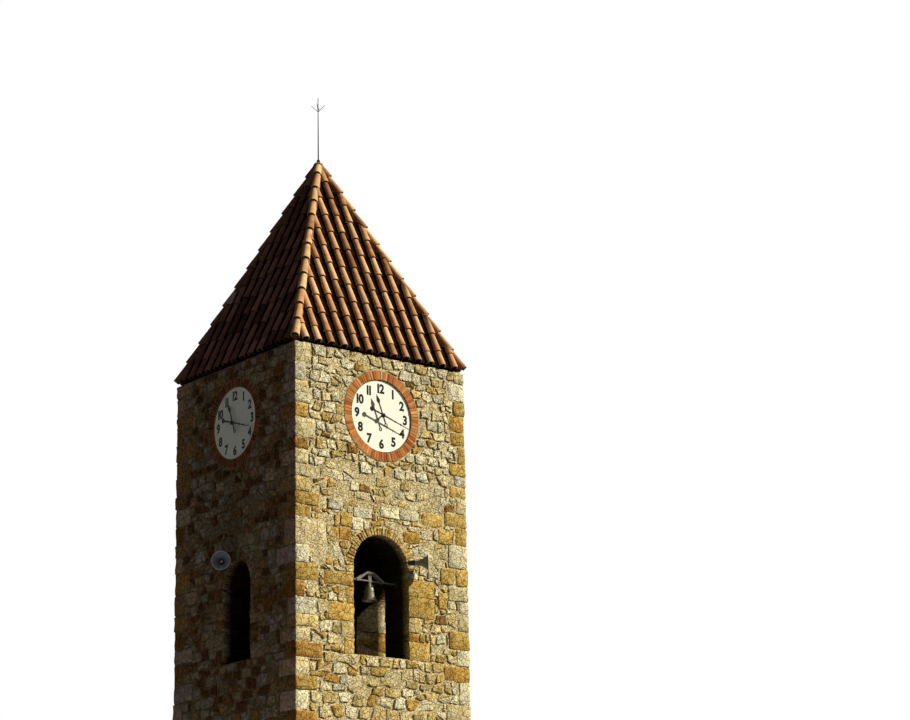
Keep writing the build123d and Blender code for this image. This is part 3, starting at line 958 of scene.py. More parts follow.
FRONT_JAMBS = Stone.rows(
    (-0.96, -0.681, 7.68, 7.96, SAND), (-1.24, -0.681, 7.98, 8.29, GOLD),
    (-0.86, -0.681, 8.31, 8.60, GOLD), (-1.33, -0.681, 8.62, 8.86, GOLD),
    (-0.84, -0.681, 8.88, 8.99, SAND), (0.561, 0.84, 7.90, 8.17, SAND),
    (0.561, 1.14, 8.19, 8.55, GOLD), (0.561, 1.15, 8.57, 8.87, GOLD),
    (0.561, 0.78, 8.89, 8.99, CREAM),
)

FREE_STONES = {
    Side.FRONT: FRONT_STONES,
    Side.RIGHT: RIGHT_STONES,
    Side.BACK: BACK_STONES,
    Side.LEFT: LEFT_STONES,
}


@dataclass(frozen=True)
class Course:
    """One block of a corner: its levels, its reaches along both of its faces, and its kind."""

    bottom: float
    top: float
    along_front: float
    along_side: float
    tone: Tone

    @classmethod
    def rows(cls, *rows: Row) -> tuple["Course", ...]:
        """The blocks of a table's rows."""
        return tuple(cls(*row) for row in rows)


FRONT_LEFT_COURSES = Course.rows(
    (8.02, 8.32, 0.44, 0.24, GREY), (8.33, 8.61, 0.20, 0.40, RUST),
    (8.62, 8.93, 0.50, 0.30, GOLD), (8.94, 9.25, 0.30, 0.58, GREY),
    (9.26, 9.74, 0.68, 0.34, CREAM), (9.75, 9.98, 0.33, 0.52, GOLD),
    (9.99, 10.22, 0.53, 0.26, GOLD), (10.23, 10.49, 0.33, 0.48, SAND),
    (10.50, 10.72, 0.34, 0.24, CREAM), (10.73, 10.99, 0.29, 0.44, CREAM),
    (11.00, 11.21, 0.30, 0.22, RUST), (11.22, 11.58, 0.44, 0.26, CREAM),
    (11.59, 11.85, 0.28, 0.46, GOLD), (11.86, 12.05, 0.36, 0.22, PALE),
    (12.06, 12.27, 0.30, 0.40, CREAM), (12.28, 12.60, 0.24, 0.32, GREY),
    (12.61, 13.00, 0.36, 0.24, CREAM),
)

FRONT_RIGHT_COURSES = Course.rows(
    (8.02, 8.35, 0.26, 0.50, CREAM), (8.36, 8.58, 0.22, 0.44, PALE),
    (8.59, 8.86, 0.48, 0.26, CREAM), (8.87, 9.19, 0.28, 0.52, GOLD),
    (9.20, 9.63, 0.45, 0.30, PALE), (9.64, 9.97, 0.27, 0.50, GOLD),
    (9.98, 10.23, 0.53, 0.28, GOLD), (10.24, 10.53, 0.25, 0.42, CREAM),
    (10.54, 10.75, 0.38, 0.24, GOLD), (10.76, 10.96, 0.28, 0.40, GREY),
    (10.97, 11.20, 0.39, 0.25, GOLD), (11.21, 11.54, 0.18, 0.40, GOLD),
    (11.55, 11.81, 0.33, 0.22, GOLD), (11.82, 12.13, 0.37, 0.46, RUST),
    (12.14, 12.41, 0.27, 0.24, GOLD), (12.42, 12.77, 0.38, 0.30, GREY),
    (12.78, 13.00, 0.24, 0.38, CREAM),
)


@dataclass
class Masonry:
    """The outer face of the walls: rubble, dressed corners, jambs and arch stones."""

    finishes: Finishes
    joint: float = 0.012
    gap: float = 0.012
    stand: float = 0.012
    root: float = 0.030
    block_stand: float = 0.014
    block_roughness: float = 0.011
    block_edge: float = 0.020
    arch_stone: float = 0.062
    least_stone: float = 0.045
    least_area: float = 0.0035
    cut_margin: float = 0.02
    outline_roughness: float = 0.013
    rim: float = 0.009
    dome: float = 0.006
    hacking: float = 0.0045
    buried: float = 0.034
    courses: dict[tuple[int, int], list[Course]] = field(default_factory=dict)

    def build(self) -> None:
        """Builds every face of the tower."""
        for index, corner in enumerate(((-1, -1), (1, -1), (1, 1), (-1, 1))):
            self.courses[corner] = self.corner_courses(corner, 40 + index)
            self.corner(corner, index)
        for side in Side:
            self.face(side)
            self.dressed(side)
            self.voussoirs(side)

    @staticmethod
    def stack(
        chance: random.Random, level: float, top: float, tallest: float, least: float
    ) -> Iterator[tuple[float, float]]:
        """Fills an upright strip with blocks of random heights.

        Args:
            chance: Picks the heights.
            level: Where the lowest block stands.
            top: Where the highest block ends.
            tallest: The greatest height that is picked.
            least: A remainder under this height goes to the block below it.

        Yields:
            The bottom level and the height of each block.
        """
        while level < top - 0.02:
            height = min(chance.uniform(0.24, tallest), top - level)
            if top - level - height < least:
                height = top - level
            yield level, height
            level += height

    def corner_courses(self, corner: tuple[int, int], seed: int) -> list[Course]:
        """The blocks of one corner from the ground up.

        Args:
            corner: Signs of the corner's x and y.
            seed: Fixes the blocks that the photograph doesn't show.

        Returns:
            The courses, in order.
        """
        known = {(-1, -1): FRONT_LEFT_COURSES, (1, -1): FRONT_RIGHT_COURSES}.get(corner, ())
        chance = random.Random(seed)
        top = known[0].bottom if known else TOWER.wall_top
        made = []
        longer_in_front = corner[0] < 0
        for level, height in self.stack(chance, 0.0, top, 0.42, 0.16):
            reach = (chance.uniform(0.44, 0.62), chance.uniform(0.24, 0.32))
            front, side = reach if longer_in_front else reach[::-1]
            tone = chance.choices(
                (GOLD, CREAM, SAND, PALE, GREY, RUST), (5, 4, 4, 2, 2, 2)
            )[0]
            made.append(Course(level + self.gap, level + height, front, side, tone))
            longer_in_front = not longer_in_front
        return made + list(known)

    def corner(self, corner: tuple[int, int], index: int) -> None:
        """Builds the blocks of one corner as one piece.

        Args:
            corner: Signs of the corner's x and y.
            index: The corner's number, which fixes its roughness.
        """
        edge = TOWER.half + self.block_stand
        chance = random.Random(90 + index)
        blocks = []
        for course in self.courses[corner]:
            out = edge + chance.uniform(-0.006, 0.006)
            inner = Vector((out - course.along_front, out - course.along_side, course.bottom))
            outer = Vector((out, out, course.top - 0.004))
            ends = [Vector((corner[0] * p.x, corner[1] * p.y, p.z)) for p in (inner, outer)]
            blocks.append((Bench.block(Vector(map(min, *ends)), Vector(map(max, *ends))), course.tone))
        words = ("front" if corner[1] < 0 else "back", "left" if corner[0] < 0 else "right")
        self.dress_blocks(blocks, f"{words[0]}_{words[1]}_corner_stones", 7 + index)

    def dress_blocks(
        self, blocks: list[tuple[Piece, Tone]], name: str, seed: int, darker: float = 0.0
    ) -> None:
        """Rounds and roughens blocks, gives each its kind, and hands them over as one piece.

        Args:
            blocks: The plain blocks with their kinds.
            name: The piece's name.
            seed: Fixes the roughness.
            darker: How much darker than usual they are.
        """
        tones = []
        for block, tone in blocks:
            tones.append((sum((vertex.co for vertex in block.data.vertices), Vector()) / 8, tone))
        piece = Bench.join([block for block, tone in blocks])
        Bench.open(piece)
        bpy.ops.mesh.subdivide(number_cuts=2)
        Bench.jog(self.block_roughness, seed)
        Bench.put_down()
        Bench.bevel(piece, self.block_edge, 2)
        Bench.smooth(piece)

        def nearest(place: Vector) -> float:
            """The kind of the block whose middle is nearest."""
            return min(tones, key=lambda pair: (pair[0] - place).length)[1].value

        Bench.tone(piece, nearest, seed, darker)
        Bench.hand_over(piece, name, self.stone(darker > 0, self.finishes.dressed), "rubble_stone")

    def stone(self, stained: bool, usual: Material) -> Material:
        """The left face's finish, darker as painted shade and with a water streak, or the usual one."""
        return self.finishes.stained if stained else usual

    def jambs(self, side: Side) -> list[Stone]:
        """The blocks beside an opening, from the belfry floor to the springing of its arch.

        Args:
            side: The face.

        Returns:
            The blocks of both sides.
        """
        radius, shift, springing = TOWER.opening(side), TOWER.shift(side), TOWER.springing(side)
        known = FRONT_JAMBS if side is Side.FRONT else ()
        chance = random.Random(60 + side.value)
        made = list(known)
        for sign in (-1, 1):
            beside = [stone.bottom for stone in known if sign * (stone.left - shift) > 0]
            top = min(beside, default=springing)
            wide = sign > 0
            for level, height in self.stack(chance, TOWER.belfry_floor, top, 0.36, 0.14):
                reach = chance.uniform(0.40, 0.54) if wide else chance.uniform(0.16, 0.24)
                ends = sorted((shift + sign * (radius - 0.004), shift + sign * (radius + reach)))
                tone = chance.choices((GOLD, SAND, CREAM, RUST), (5, 3, 3, 2))[0]
                made.append(Stone(ends[0], ends[1], level, level + height - self.gap, tone))
                wide = not wide
        return made

    def dressed(self, side: Side) -> None:
        """Builds the free blocks and the jambs of one face as one piece.

        Args:
            side: The face.
        """
        chance = random.Random(30 + side.value)
        out = -TOWER.half - self.block_stand
        deep = {stone: -TOWER.half + self.root for stone in FREE_STONES[side]}
        deep.update({stone: -TOWER.half + TOWER.wall + 0.004 for stone in self.jambs(side)})
        blocks = []
        for stone, back in deep.items():
            front = out + chance.uniform(-0.004, 0.008)
            block = Bench.block((stone.left, front, stone.bottom), (stone.right, back, stone.top))
            block.data.transform(side.turn)
            blocks.append((block, stone.tone))
        self.dress_blocks(blocks, f"{side.word}_dressed_stones", 20 + side.value, self.dullness(side))

    def voussoirs(self, side: Side) -> None:
        """Builds the thin radial stones of one arch, through the whole wall.

        Args:
            side: The face.
        """
        inner = TOWER.opening(side) - 0.004
        outer = TOWER.opening(side) + TOWER.arch_ring
        count = round(math.pi * (inner + outer) / 2 / self.arch_stone)
        step = math.pi / count
        thick = (inner + outer) / 2 * step - 0.010
        chance = random.Random(side.value)
        up = Matrix.Translation((TOWER.shift(side), 0, TOWER.springing(side)))
        stones = []
        for index in range(count):
            reach = outer + chance.uniform(-0.03, 0.04)
            stand = TOWER.half + self.block_stand + chance.uniform(-0.006, 0.006)
            lean = (index + 0.5) * step - math.pi / 2 + chance.uniform(-0.006, 0.006)
            low = (-thick / 2, -stand, inner)
            high = (thick / 2, -TOWER.half + TOWER.wall + 0.004, reach)
            place = side.turn @ up @ Matrix.Rotation(lean, 4, "Y")
            stones.append(Bench.wedge(low, high, inner / (inner + TOWER.arch_ring) * 1.05, place))
        piece = Bench.join(stones)
        Bench.roughen(piece, 0.005, side.value)
        Bench.bevel(piece, 0.007)

        def choose(place: Vector) -> float:
            """Mostly golden stones, some paler."""
            return chance.choices((GOLD, SAND, RUST, CREAM), (6, 4, 2, 1))[0].value

        Bench.tone(piece, choose, 70 + side.value, self.dullness(side))
        # The left face takes its darker stone: painted shade.
        finish = self.stone(side is Side.LEFT, self.finishes.dressed)
        Bench.hand_over(piece, f"{side.word}_arch_stones", finish, "arch_stone")

    def face(self, side: Side) -> None:
        """Builds the rubble of one face, as an upper and a lower piece.

        Args:
            side: The face.
        """
        # The left face takes its darker stone: painted shade.
        finish = self.stone(side is Side.LEFT, self.finishes.rubble)
        for part, low, high, course, length, seed in (
            ("upper", TOWER.belfry_floor, TOWER.wall_top, 0.175, 0.255, 200),
            ("lower", 0.0, TOWER.belfry_floor, 0.19, 0.29, 300),
        ):
            piece = self.rubble(side, low, high, course, length, seed + side.value)
            Bench.hand_over(piece, f"{side.word}_{part}_rubble", finish, "rubble_stone")

    def rubble(
        self, side: Side, low: float, high: float, course: float, length: float, seed: int
    ) -> Piece:
        """Lays rubble over one face between two levels.

        Args:
            side: The face.
            low: The bottom level.
            high: The top level.
            course: The usual height of a stone.
            length: The usual length of a stone.
            seed: Fixes the pattern.

        Returns:
            The rubble, turned onto its face.
        """
        rows = round((high - low) / course)
        columns = 2 * round(2 * TOWER.half / length)
        Bench.put_down()
        bpy.ops.mesh.primitive_grid_add(
            x_subdivisions=columns,
            y_subdivisions=rows,
            size=1.0,
            location=(0, -TOWER.half, (low + high) / 2),
            rotation=(math.pi / 2, 0, 0),
        )
        piece = bpy.context.object
        piece.scale = (2 * TOWER.half, high - low, 1)
        Bench.close(piece)
        self.break_bond(piece, rows, columns, low, high, seed)
        self.split_stones(piece)
        self.trim(piece, side, low, high)
        self.raise_stones(piece, side, seed)
        piece.data.transform(side.turn)
        Bench.tone(piece, self.stone_kinds(side, seed), seed, self.dullness(side))
        return piece

    def dullness(self, side: Side) -> float:
        """How much darker the stones of a face are: painted shade on the left face."""
        return 0.12 if side is Side.LEFT else 0.0

    def stone_kinds(self, side: Side, seed: int) -> Chooser:
        """A chooser of kinds for the rubble of one face.

        Args:
            side: The face.
            seed: Fixes its choices.

        Returns:
            The chooser, which takes a stone's centre.
        """
        chance = random.Random(seed)
        golden = (SAND, GOLD, RUST, BROWN)
        pale = (GREY, PALE, CREAM, SAND)

        def choose(place: Vector) -> float:
            """Pale stones under the roof, golden ones round the arches, and browner ones on the left."""
            share = 0.12 if place.z > 12.1 else 0.24 if place.z > 10.6 else 0.55
            if side is Side.LEFT:
                return chance.choices((GREY, CREAM, *golden), (5, 3, 4, 2, 2, 4))[0].value
            if chance.random() < share:
                return chance.choices(golden, (7, 4, 1, 1))[0].value
            return chance.choices(pale, (3, 5, 5, 2))[0].value

        return choose

    def break_bond(
        self, piece: Piece, rows: int, columns: int, low: float, high: float, seed: int
    ) -> None:
        """Turns a grid into a loose bond of many-sided stones.

        Args:
            piece: The grid.
            rows: Its rows.
            columns: Its columns, two to a stone.
            low: Its bottom level.
            high: Its top level.
            seed: Fixes the pattern.
        """
        wide = 2 * TOWER.half / columns
        tall = (high - low) / rows
        chance = random.Random(seed)
        Bench.open(piece)
        bpy.ops.mesh.select_mode(type="EDGE")
        grid = bmesh.from_edit_mesh(piece.data)
        for edge in grid.edges:
            first, second = (vertex.co for vertex in edge.verts)
            middle = (first + second) / 2
            column = round((middle.x + TOWER.half) / wide)
            row = int((middle.z - low) / tall)
            upright = abs(first.x - second.x) < wide / 4
            edge.select_set(upright and (column + row) % 2 == 1 and column not in (0, columns))
        bmesh.update_edit_mesh(piece.data)
        bpy.ops.mesh.dissolve_edges(use_verts=False)
        bpy.ops.mesh.select_mode(type="VERT")
        for row in range(1, rows):
            level = low + row * tall
            points = bmesh.from_edit_mesh(piece.data)
            for vertex in points.verts:
                vertex.select_set(abs(vertex.co.z - level) < tall * 0.02)
            points.select_flush_mode()
            bmesh.update_edit_mesh(piece.data)
            bpy.ops.transform.translate(value=(0, 0, chance.uniform(-0.24, 0.24) * tall))
        bpy.ops.mesh.select_all(action="SELECT")
        Bench.jog(tall * 0.22, seed)
        flat = bmesh.from_edit_mesh(piece.data)
        for vertex in flat.verts:
            vertex.co.x += chance.uniform(-0.36, 0.36) * wide
            vertex.co.y = -TOWER.half
        for face in list(flat.faces):
            if len(face.verts) == 6 and chance.random() < 0.22:
                start = chance.randrange(3)
                bmesh.utils.face_split(face, face.verts[start], face.verts[start + 3])
        bmesh.update_edit_mesh(piece.data)

    def split_stones(self, piece: Piece) -> None:
        """Opens the joints between the stones of a bonded face.

        Args:
            piece: The bonded face, opened.
        """
        bpy.ops.mesh.select_mode(type="FACE")
        bpy.ops.mesh.select_all(action="SELECT")
        bpy.ops.mesh.inset(use_individual=True, thickness=self.joint / 2, use_even_offset=False)
        bpy.ops.mesh.select_all(action="INVERT")
        bpy.ops.mesh.delete(type="FACE")

    def trim(self, piece: Piece, side: Side, low: float, high: float) -> None:
        """Cuts the stones back from the dressed blocks, the arch and the dial, as a mason does.

        Args:
            piece: The flat stones, opened.
            side: The face.
            low: The bottom level.
            high: The top level.
        """
        for level, out in ((low + 0.007, -1), (high - 0.007, 1)):
            Bench.cut((0, 0, level), (0, 0, out), False)
        for left, right, bottom, top in self.taken(side):
            if top > low and bottom < high:
                gap = self.joint
                self.trim_box(piece, (left - gap, right + gap, bottom - gap, top + gap))
        ring = TOWER.opening(side) + TOWER.arch_ring + self.gap
        circles = [(TOWER.shift(side), TOWER.springing(side), ring)]
        if side.has_dial:
            circles.append((0.0, TOWER.dial_level, TOWER.dial_radius + TOWER.brick_ring + self.gap))
        for across, level, radius in circles:
            if level + radius > low and level - radius < high:
                self.trim_circle(piece, across, level, radius)

        def slight(face: bmesh.types.BMFace) -> bool:
            """Whether a stone is too small to be laid, or lies past the corner."""
            left, right, bottom, top = self.extent(face)
            least = min(right - left, top - bottom)
            small = least < self.least_stone or face.calc_area() < self.least_area
            return small or max(-left, right) > TOWER.half

        Bench.drop(piece, slight)

    @staticmethod
    def cut_marks(piece: Piece) -> bmesh.types.BMLayerItem:
        """The layer of an opened piece that says which plane each stone is cut along."""
        layers = bmesh.from_edit_mesh(piece.data).faces.layers.int
        return layers.get("cut") or layers.new("cut")

    @staticmethod
    def extent(face: bmesh.types.BMFace) -> Box:
        """The left, right, bottom and top of a flat stone."""
        xs, zs = zip(*((vertex.co.x, vertex.co.z) for vertex in face.verts), strict=True)
        return min(xs), max(xs), min(zs), max(zs)

    def taken(self, side: Side) -> list[Box]:
        """The boxes on a face that dressed stones and the opening take.

        Args:
            side: The face.

        Returns:
            The left, right, bottom and top of each box.
        """
        edge = TOWER.half + 0.1
        made = [(s.left, s.right, s.bottom, s.top) for s in (*FREE_STONES[side], *self.jambs(side))]
        radius, shift = TOWER.opening(side), TOWER.shift(side)
        made.append((shift - radius, shift + radius, TOWER.belfry_floor, TOWER.springing(side)))
        corners = {
            Side.FRONT: ((-1, -1), (1, -1)),
            Side.RIGHT: ((1, -1), (1, 1)),
            Side.BACK: ((1, 1), (-1, 1)),
            Side.LEFT: ((-1, 1), (-1, -1)),
        }[side]
        for sign, corner in zip((-1, 1), corners, strict=True):
            for course in self.courses[corner]:
                reach = course.along_front if side.wide else course.along_side
                ends = sorted((sign * edge, sign * (TOWER.half - reach)))
                made.append((ends[0], ends[1], course.bottom, course.top))
        return made

    def trim_box(self, piece: Piece, box: Box) -> None:
        """Cuts stones back to one edge of a box each, and removes those that lie inside it.

        Args:
            piece: The flat stones, opened.
            box: The box's left, right, bottom and top.
        """
        left, right, bottom, top = box
        marks = self.cut_marks(piece)
        planes = (
            ((left, 0, 0), (1, 0, 0)),
            ((right, 0, 0), (-1, 0, 0)),
            ((0, 0, bottom), (0, 0, 1)),
            ((0, 0, top), (0, 0, -1)),
        )
        used = set()

        def inside(face: bmesh.types.BMFace) -> bool:
            """Whether a stone lies in the box; one that only reaches into it is marked for a cut."""
            face[marks] = 0
            west, east, low, high = self.extent(face)
            if east <= left or west >= right or high <= bottom or low >= top:
                return False
            reach = (left - west, east - right, bottom - low, high - top)
            across, up = east - west, high - low
            spare = (reach[0] * up, reach[1] * up, reach[2] * across, reach[3] * across)
            best = spare.index(max(spare))
            if reach[best] <= self.least_stone:
                return True
            face[marks] = best + 1
            used.add(best)
            return False

        Bench.drop(piece, inside)
        for number in used:
            self.cut_marked(piece, number + 1, *planes[number])

    def cut_marked(
        self, piece: Piece, number: int, place: Iterable[float], normal: Iterable[float]
    ) -> None:
        """Cuts the stones that carry a mark along a plane and drops what lies beyond it.

        Args:
            piece: The flat stones, opened.
            number: The mark.
            place: A point of the plane.
            normal: The way out of what is kept.
        """
        marks = self.cut_marks(piece)
        Bench.mark_faces(piece, lambda face: face[marks] == number)
        Bench.bisect(place, normal)

    def trim_circle(self, piece: Piece, across: float, level: float, radius: float) -> None:
        """Cuts stones back to a circle, each along a straight line, and removes those inside it.

        Args:
            piece: The flat stones, opened.
            across: How far the circle's centre lies to the right of the middle.
            level: The centre's level.
            radius: The circle's radius.
        """
        centre = Vector((across, -TOWER.half, level))
        marks = self.cut_marks(piece)
        planes = []

        def inside(face: bmesh.types.BMFace) -> bool:
            """Whether a stone lies in the circle; one that only reaches into it gets its own cut."""
            distances = [(vertex.co - centre).length for vertex in face.verts]
            away = (face.calc_center_median() - centre).normalized()
            face[marks] = 0
            if max(distances) < radius + self.least_stone:
                return True
            if min(distances) < radius + self.cut_margin:
                planes.append((centre + away * radius, -away))
                face[marks] = len(planes)
            return False

        Bench.drop(piece, inside)
        for number, plane in enumerate(planes, start=1):
            self.cut_marked(piece, number, *plane)

    def raise_stones(self, piece: Piece, side: Side, seed: int) -> None:
        """Gives the flat stones broken outlines, their thickness, uneven depths and hacked faces.

        Args:
            piece: The trimmed stones, opened.
            side: The face that they are laid on.
            seed: Fixes the unevenness.
        """
        Bench.apply(piece, "SUBSURF", levels=1, render_levels=1, subdivision_type="SIMPLE")
        Bench.open(piece)
        bpy.ops.mesh.vertices_smooth(factor=0.32)
        Bench.roughen(piece, self.outline_roughness, seed + 1)
        for vertex in piece.data.vertices:
            vertex.co.y = -TOWER.half
            vertex.co.z = max(vertex.co.z, self.gap)
        Bench.apply(piece, "SOLIDIFY", thickness=self.stand + self.root, offset=0.0)
        Bench.open(piece)
        bpy.ops.transform.translate(value=(0, -(self.stand - self.root) / 2, 0))
        Bench.mark_faces(piece, lambda face: face.normal.y < -0.9)
        bpy.ops.mesh.inset(
            use_individual=False, thickness=self.rim, depth=self.dome, use_even_offset=False
        )
        bpy.ops.mesh.select_all(action="SELECT")
        Bench.jog(self.hacking, seed)
        Bench.close(piece)
        chance = random.Random(seed + 2)

        def sink(place: Vector) -> float:
            """Some stones lie under the mortar, above all between the front arch and the dial."""
            smeared = side is Side.FRONT and 10.1 < place.z < 10.8 and place.x < 1.3
            if chance.random() < (0.5 if smeared else 0.08):
                return self.buried
            return 0.006 if side is Side.FRONT and 9.0 < place.z < 10.8 else 0.0

        Bench.settle(piece, sink, 0.005, 0.05, seed)
        Bench.smooth(piece, 32)


@dataclass
class TiledRoof:
    """The pyramid roof: boarding, channel tiles, cover tiles, hip tiles and their mortar beds."""

    finishes: Finishes
    columns: int = 6
    spacing: float = 0.289
    first: float = 0.265
    exposure: float = 0.437
    tile_length: float = 0.50
    wide_end: float = 0.084
    narrow_end: float = 0.064
    thickness: float = 0.012
    deck: float = 0.06
    plate: float = 0.22
    hip_exposure: float = 0.436
    hip_top: float = 17.38
    hip_lift: float = 0.045
    tile_sides: int = 20
    cover_level: float = 0.026
    channel_level: float = 0.096
    tile_rise: float = 0.014
    hip_rise: float = 0.026

    def build(self) -> None:
        """Builds the four slopes and the four hips."""
        for side in Side:
            self.tiles(side)
            self.boarding(side)
        for index, name in enumerate(("front_right", "back_right", "back_left", "front_left")):
            self.hip(index, name)

    def barrel(self, wide: float, narrow: float, keep: float) -> Piece:
        """Models a tapered barrel tile along +Y, its hollow down and its wide mouth at the origin.

        Args:
            wide: Outer radius at the mouth.
            narrow: Outer radius at the upper end.
            keep: Height above the tile's axis from where it is kept.

        Returns:
            The tile.
        """
        tile = Bench.shape(
            bpy.ops.mesh.primitive_cone_add,
            vertices=self.tile_sides,
            radius1=wide,
            radius2=narrow,
            depth=self.tile_length,
            end_fill_type="NOTHING",
            location=(0, self.tile_length / 2, 0),
            rotation=(-math.pi / 2, 0, 0),
        )
        Bench.open(tile)
        bpy.ops.mesh.bisect(plane_co=(0, 0, keep), plane_no=(0, 0, 1), clear_inner=True, use_fill=False)
        Bench.put_down()
        Bench.apply(tile, "SOLIDIFY", thickness=self.thickness, offset=-1.0)
        return tile

    def slope_frame(self) -> Matrix:
        """The front slope's own axes, from the middle of the eave: X along it, Y up the slope, Z out."""
        foot = Vector((0, -TOWER.roof_reach, TOWER.apex - TOWER.roof_reach * TOWER.slope))
        return Matrix.Translation(foot) @ Matrix.Rotation(TOWER.pitch, 4, "X")

    def column(self, x: float, sunk: bool, chance: random.Random) -> list[Matrix]:
        """Where the tiles of one column go, in the slope's own axes.

        Args:
            x: The column's place along the eave.
            sunk: Whether it is a channel, with its hollow up.
            chance: Shifts the joints a little.

        Returns:
            One matrix for each tile.
        """
        run = (TOWER.roof_reach - abs(x)) / math.cos(TOWER.pitch)
        lean = Matrix.Rotation(-math.atan(self.tile_rise / self.tile_length), 4, "X")
        level = self.channel_level if sunk else self.cover_level
        shift = chance.uniform(-0.045, 0.045)
        y = -0.035
        places = []
        while not places or y < run:
            jitter = chance.uniform(-0.005, 0.005)
            turn = Matrix.Rotation(chance.uniform(-0.014, 0.014), 4, "Z")
            place = Matrix.Translation((x + jitter, y, level)) @ turn @ lean
            places.append(place @ Matrix.Rotation(math.pi, 4, "Y") if sunk else place)
            if len(places) == 1:
                y = self.first + shift
            else:
                y += self.exposure + chance.uniform(-0.012, 0.012)
        return places

    def tiles(self, side: Side) -> None:
        """Builds the cover and channel tiles of one slope.

        Args:
            side: The slope's side.
        """
        chance = random.Random(500 + side.value)
        covers = []
        channels = []
        for index in range(-self.columns, self.columns + 1):
            covers += self.column(index * self.spacing, False, chance)
        for index in range(-self.columns - 1, self.columns + 1):
            channels += self.column((index + 0.5) * self.spacing, True, chance)
        cover = Bench.copies(self.barrel(self.wide_end, self.narrow_end, -0.012), covers)

        def choose(place: Vector) -> float:
            """Tan tiles, and very few that are bleached."""
            return 1.0 if chance.random() < 0.02 else min(0.86, max(0.25, chance.gauss(0.55, 0.13)))

        Bench.tone(cover, choose, 510 + side.value)
        channel = Bench.copies(self.barrel(0.088, 0.100, 0.052), channels)
        # Channel tiles take the ramp's near-black end: painted shade between the covers.
        Bench.tone(channel, lambda place: -0.15, 520 + side.value)
        tiles = Bench.join([cover, channel])
        self.cut_at_hips(tiles, side, 0.045)
        Bench.smooth(tiles)
        # The left slope takes the darker tile: painted shade.
        finish = self.finishes.old_tile if side is Side.LEFT else self.finishes.tile
        Bench.hand_over(tiles, f"{side.word}_roof_tiles", finish, "clay_tile")
        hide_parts(f"roof_{side.word}")

    def boarding(self, side: Side) -> None:
        """Builds the boarding of one slope and the wall plate that it rests on.

        Args:
            side: The slope's side.
        """
        deck = Bench.block((-TOWER.roof_reach, 0, -self.deck), (TOWER.roof_reach, 5.0, 0.0))
        deck.data.transform(self.slope_frame())
        outer = TOWER.half - TOWER.plate_inset
        top = TOWER.wall_top
        plate = Bench.block((-outer, -outer, top), (outer, self.plate - outer, top + self.plate))
        Bench.open(plate)
        foot = (0, -TOWER.roof_reach, TOWER.apex - TOWER.roof_reach * TOWER.slope - 0.05)
        rise = (0, -math.sin(TOWER.pitch), math.cos(TOWER.pitch))
        Bench.cut(foot, rise)
        wood = Bench.join([deck, plate])
        wood.data.transform(self.slope_frame().inverted())
        self.cut_at_hips(wood, side, 0.0)
        # Its near-black finish is painted shade.
        Bench.hand_over(wood, f"{side.word}_roof_boarding", self.finishes.deck, "clay_tile")

    def cut_at_hips(self, piece: Piece, side: Side, short: float) -> None:
        """Lays a piece on its slope and cuts it along both hips.

        Args:
            piece: The piece, in the slope's own axes.
            side: The side that it ends on.
            short: How far the cut stays from the hip line.
        """
        piece.data.transform(self.slope_frame())
        Bench.open(piece)
        for sign in (-1, 1):
            away = Vector((sign, 1, 0)).normalized()
            Bench.cut(away * -short, away)
        Bench.cut((0, 0, TOWER.wall_top - 0.015), (0, 0, -1))
        Bench.put_down()
        piece.data.transform(side.turn)

    def hip(self, index: int, name: str) -> None:
        """Builds the lapped tiles of one hip and the mortar that they lie in.

        Args:
            index: Quarter turns from the front right hip.
            name: The hip's corner.
        """
        up = Vector((-1, 1, TOWER.slope)).normalized()
        out = Vector((1, -1, 2 / TOWER.slope)).normalized()
        axes = Matrix((up.cross(out), up, out)).transposed().to_4x4()
        eave = Vector((TOWER.roof_reach, -TOWER.roof_reach, TOWER.apex - TOWER.roof_reach * TOWER.slope))
        foot = Matrix.Translation(eave + out * self.hip_lift) @ axes
        length = TOWER.roof_reach * math.sqrt(2 + TOWER.slope**2)
        lean = Matrix.Rotation(-math.atan(self.hip_rise / self.tile_length), 4, "X")
        chance = random.Random(600 + index)
        places = []
        for row in range(math.ceil(length / self.hip_exposure)):
            along = row * self.hip_exposure - 0.022 + (chance.uniform(-0.012, 0.012) if row else 0.0)
            turn = Matrix.Rotation(chance.uniform(-0.018, 0.018), 4, "Z")
            places.append(foot @ Matrix.Translation((0, along, 0)) @ turn @ lean)
        piece = Bench.copies(self.barrel(0.084, 0.066, -0.012), places)
        Bench.open(piece)
        for place, normal in (
            ((-0.01, 0, 0), (-1, 0, 0)),
            ((0, 0.01, 0), (0, 1, 0)),
            ((0, 0, self.hip_top), (0, 0, 1)),
        ):
            Bench.cut(place, normal)
        Bench.put_down()
        quarter = Matrix.Rotation(math.radians(90 * index), 4, "Z")
        piece.data.transform(quarter)
        Bench.smooth(piece)
        Bench.tone(piece, lambda place: min(0.8, max(0.3, chance.gauss(0.57, 0.09))), 610 + index)
        # The back left hip, on the left slope's edge, takes the same darker tile: painted shade.
        finish = self.finishes.old_tile if name == "back_left" else self.finishes.tile
        Bench.hand_over(piece, f"{name}_hip_tiles", finish, "clay_tile")
        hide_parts(f"hip_tiles_{name}")
        bed = Bench.block((-0.072, 0.0, -0.13), (0.072, length - 0.10, 0.0))
        Bench.open(bed)
        bpy.ops.mesh.subdivide(number_cuts=5)
        Bench.roughen(bed, 0.004, index)
        bed.data.transform(quarter @ foot)
        Bench.hand_over(bed, f"{name}_hip_mortar", self.finishes.cap, "mortar")


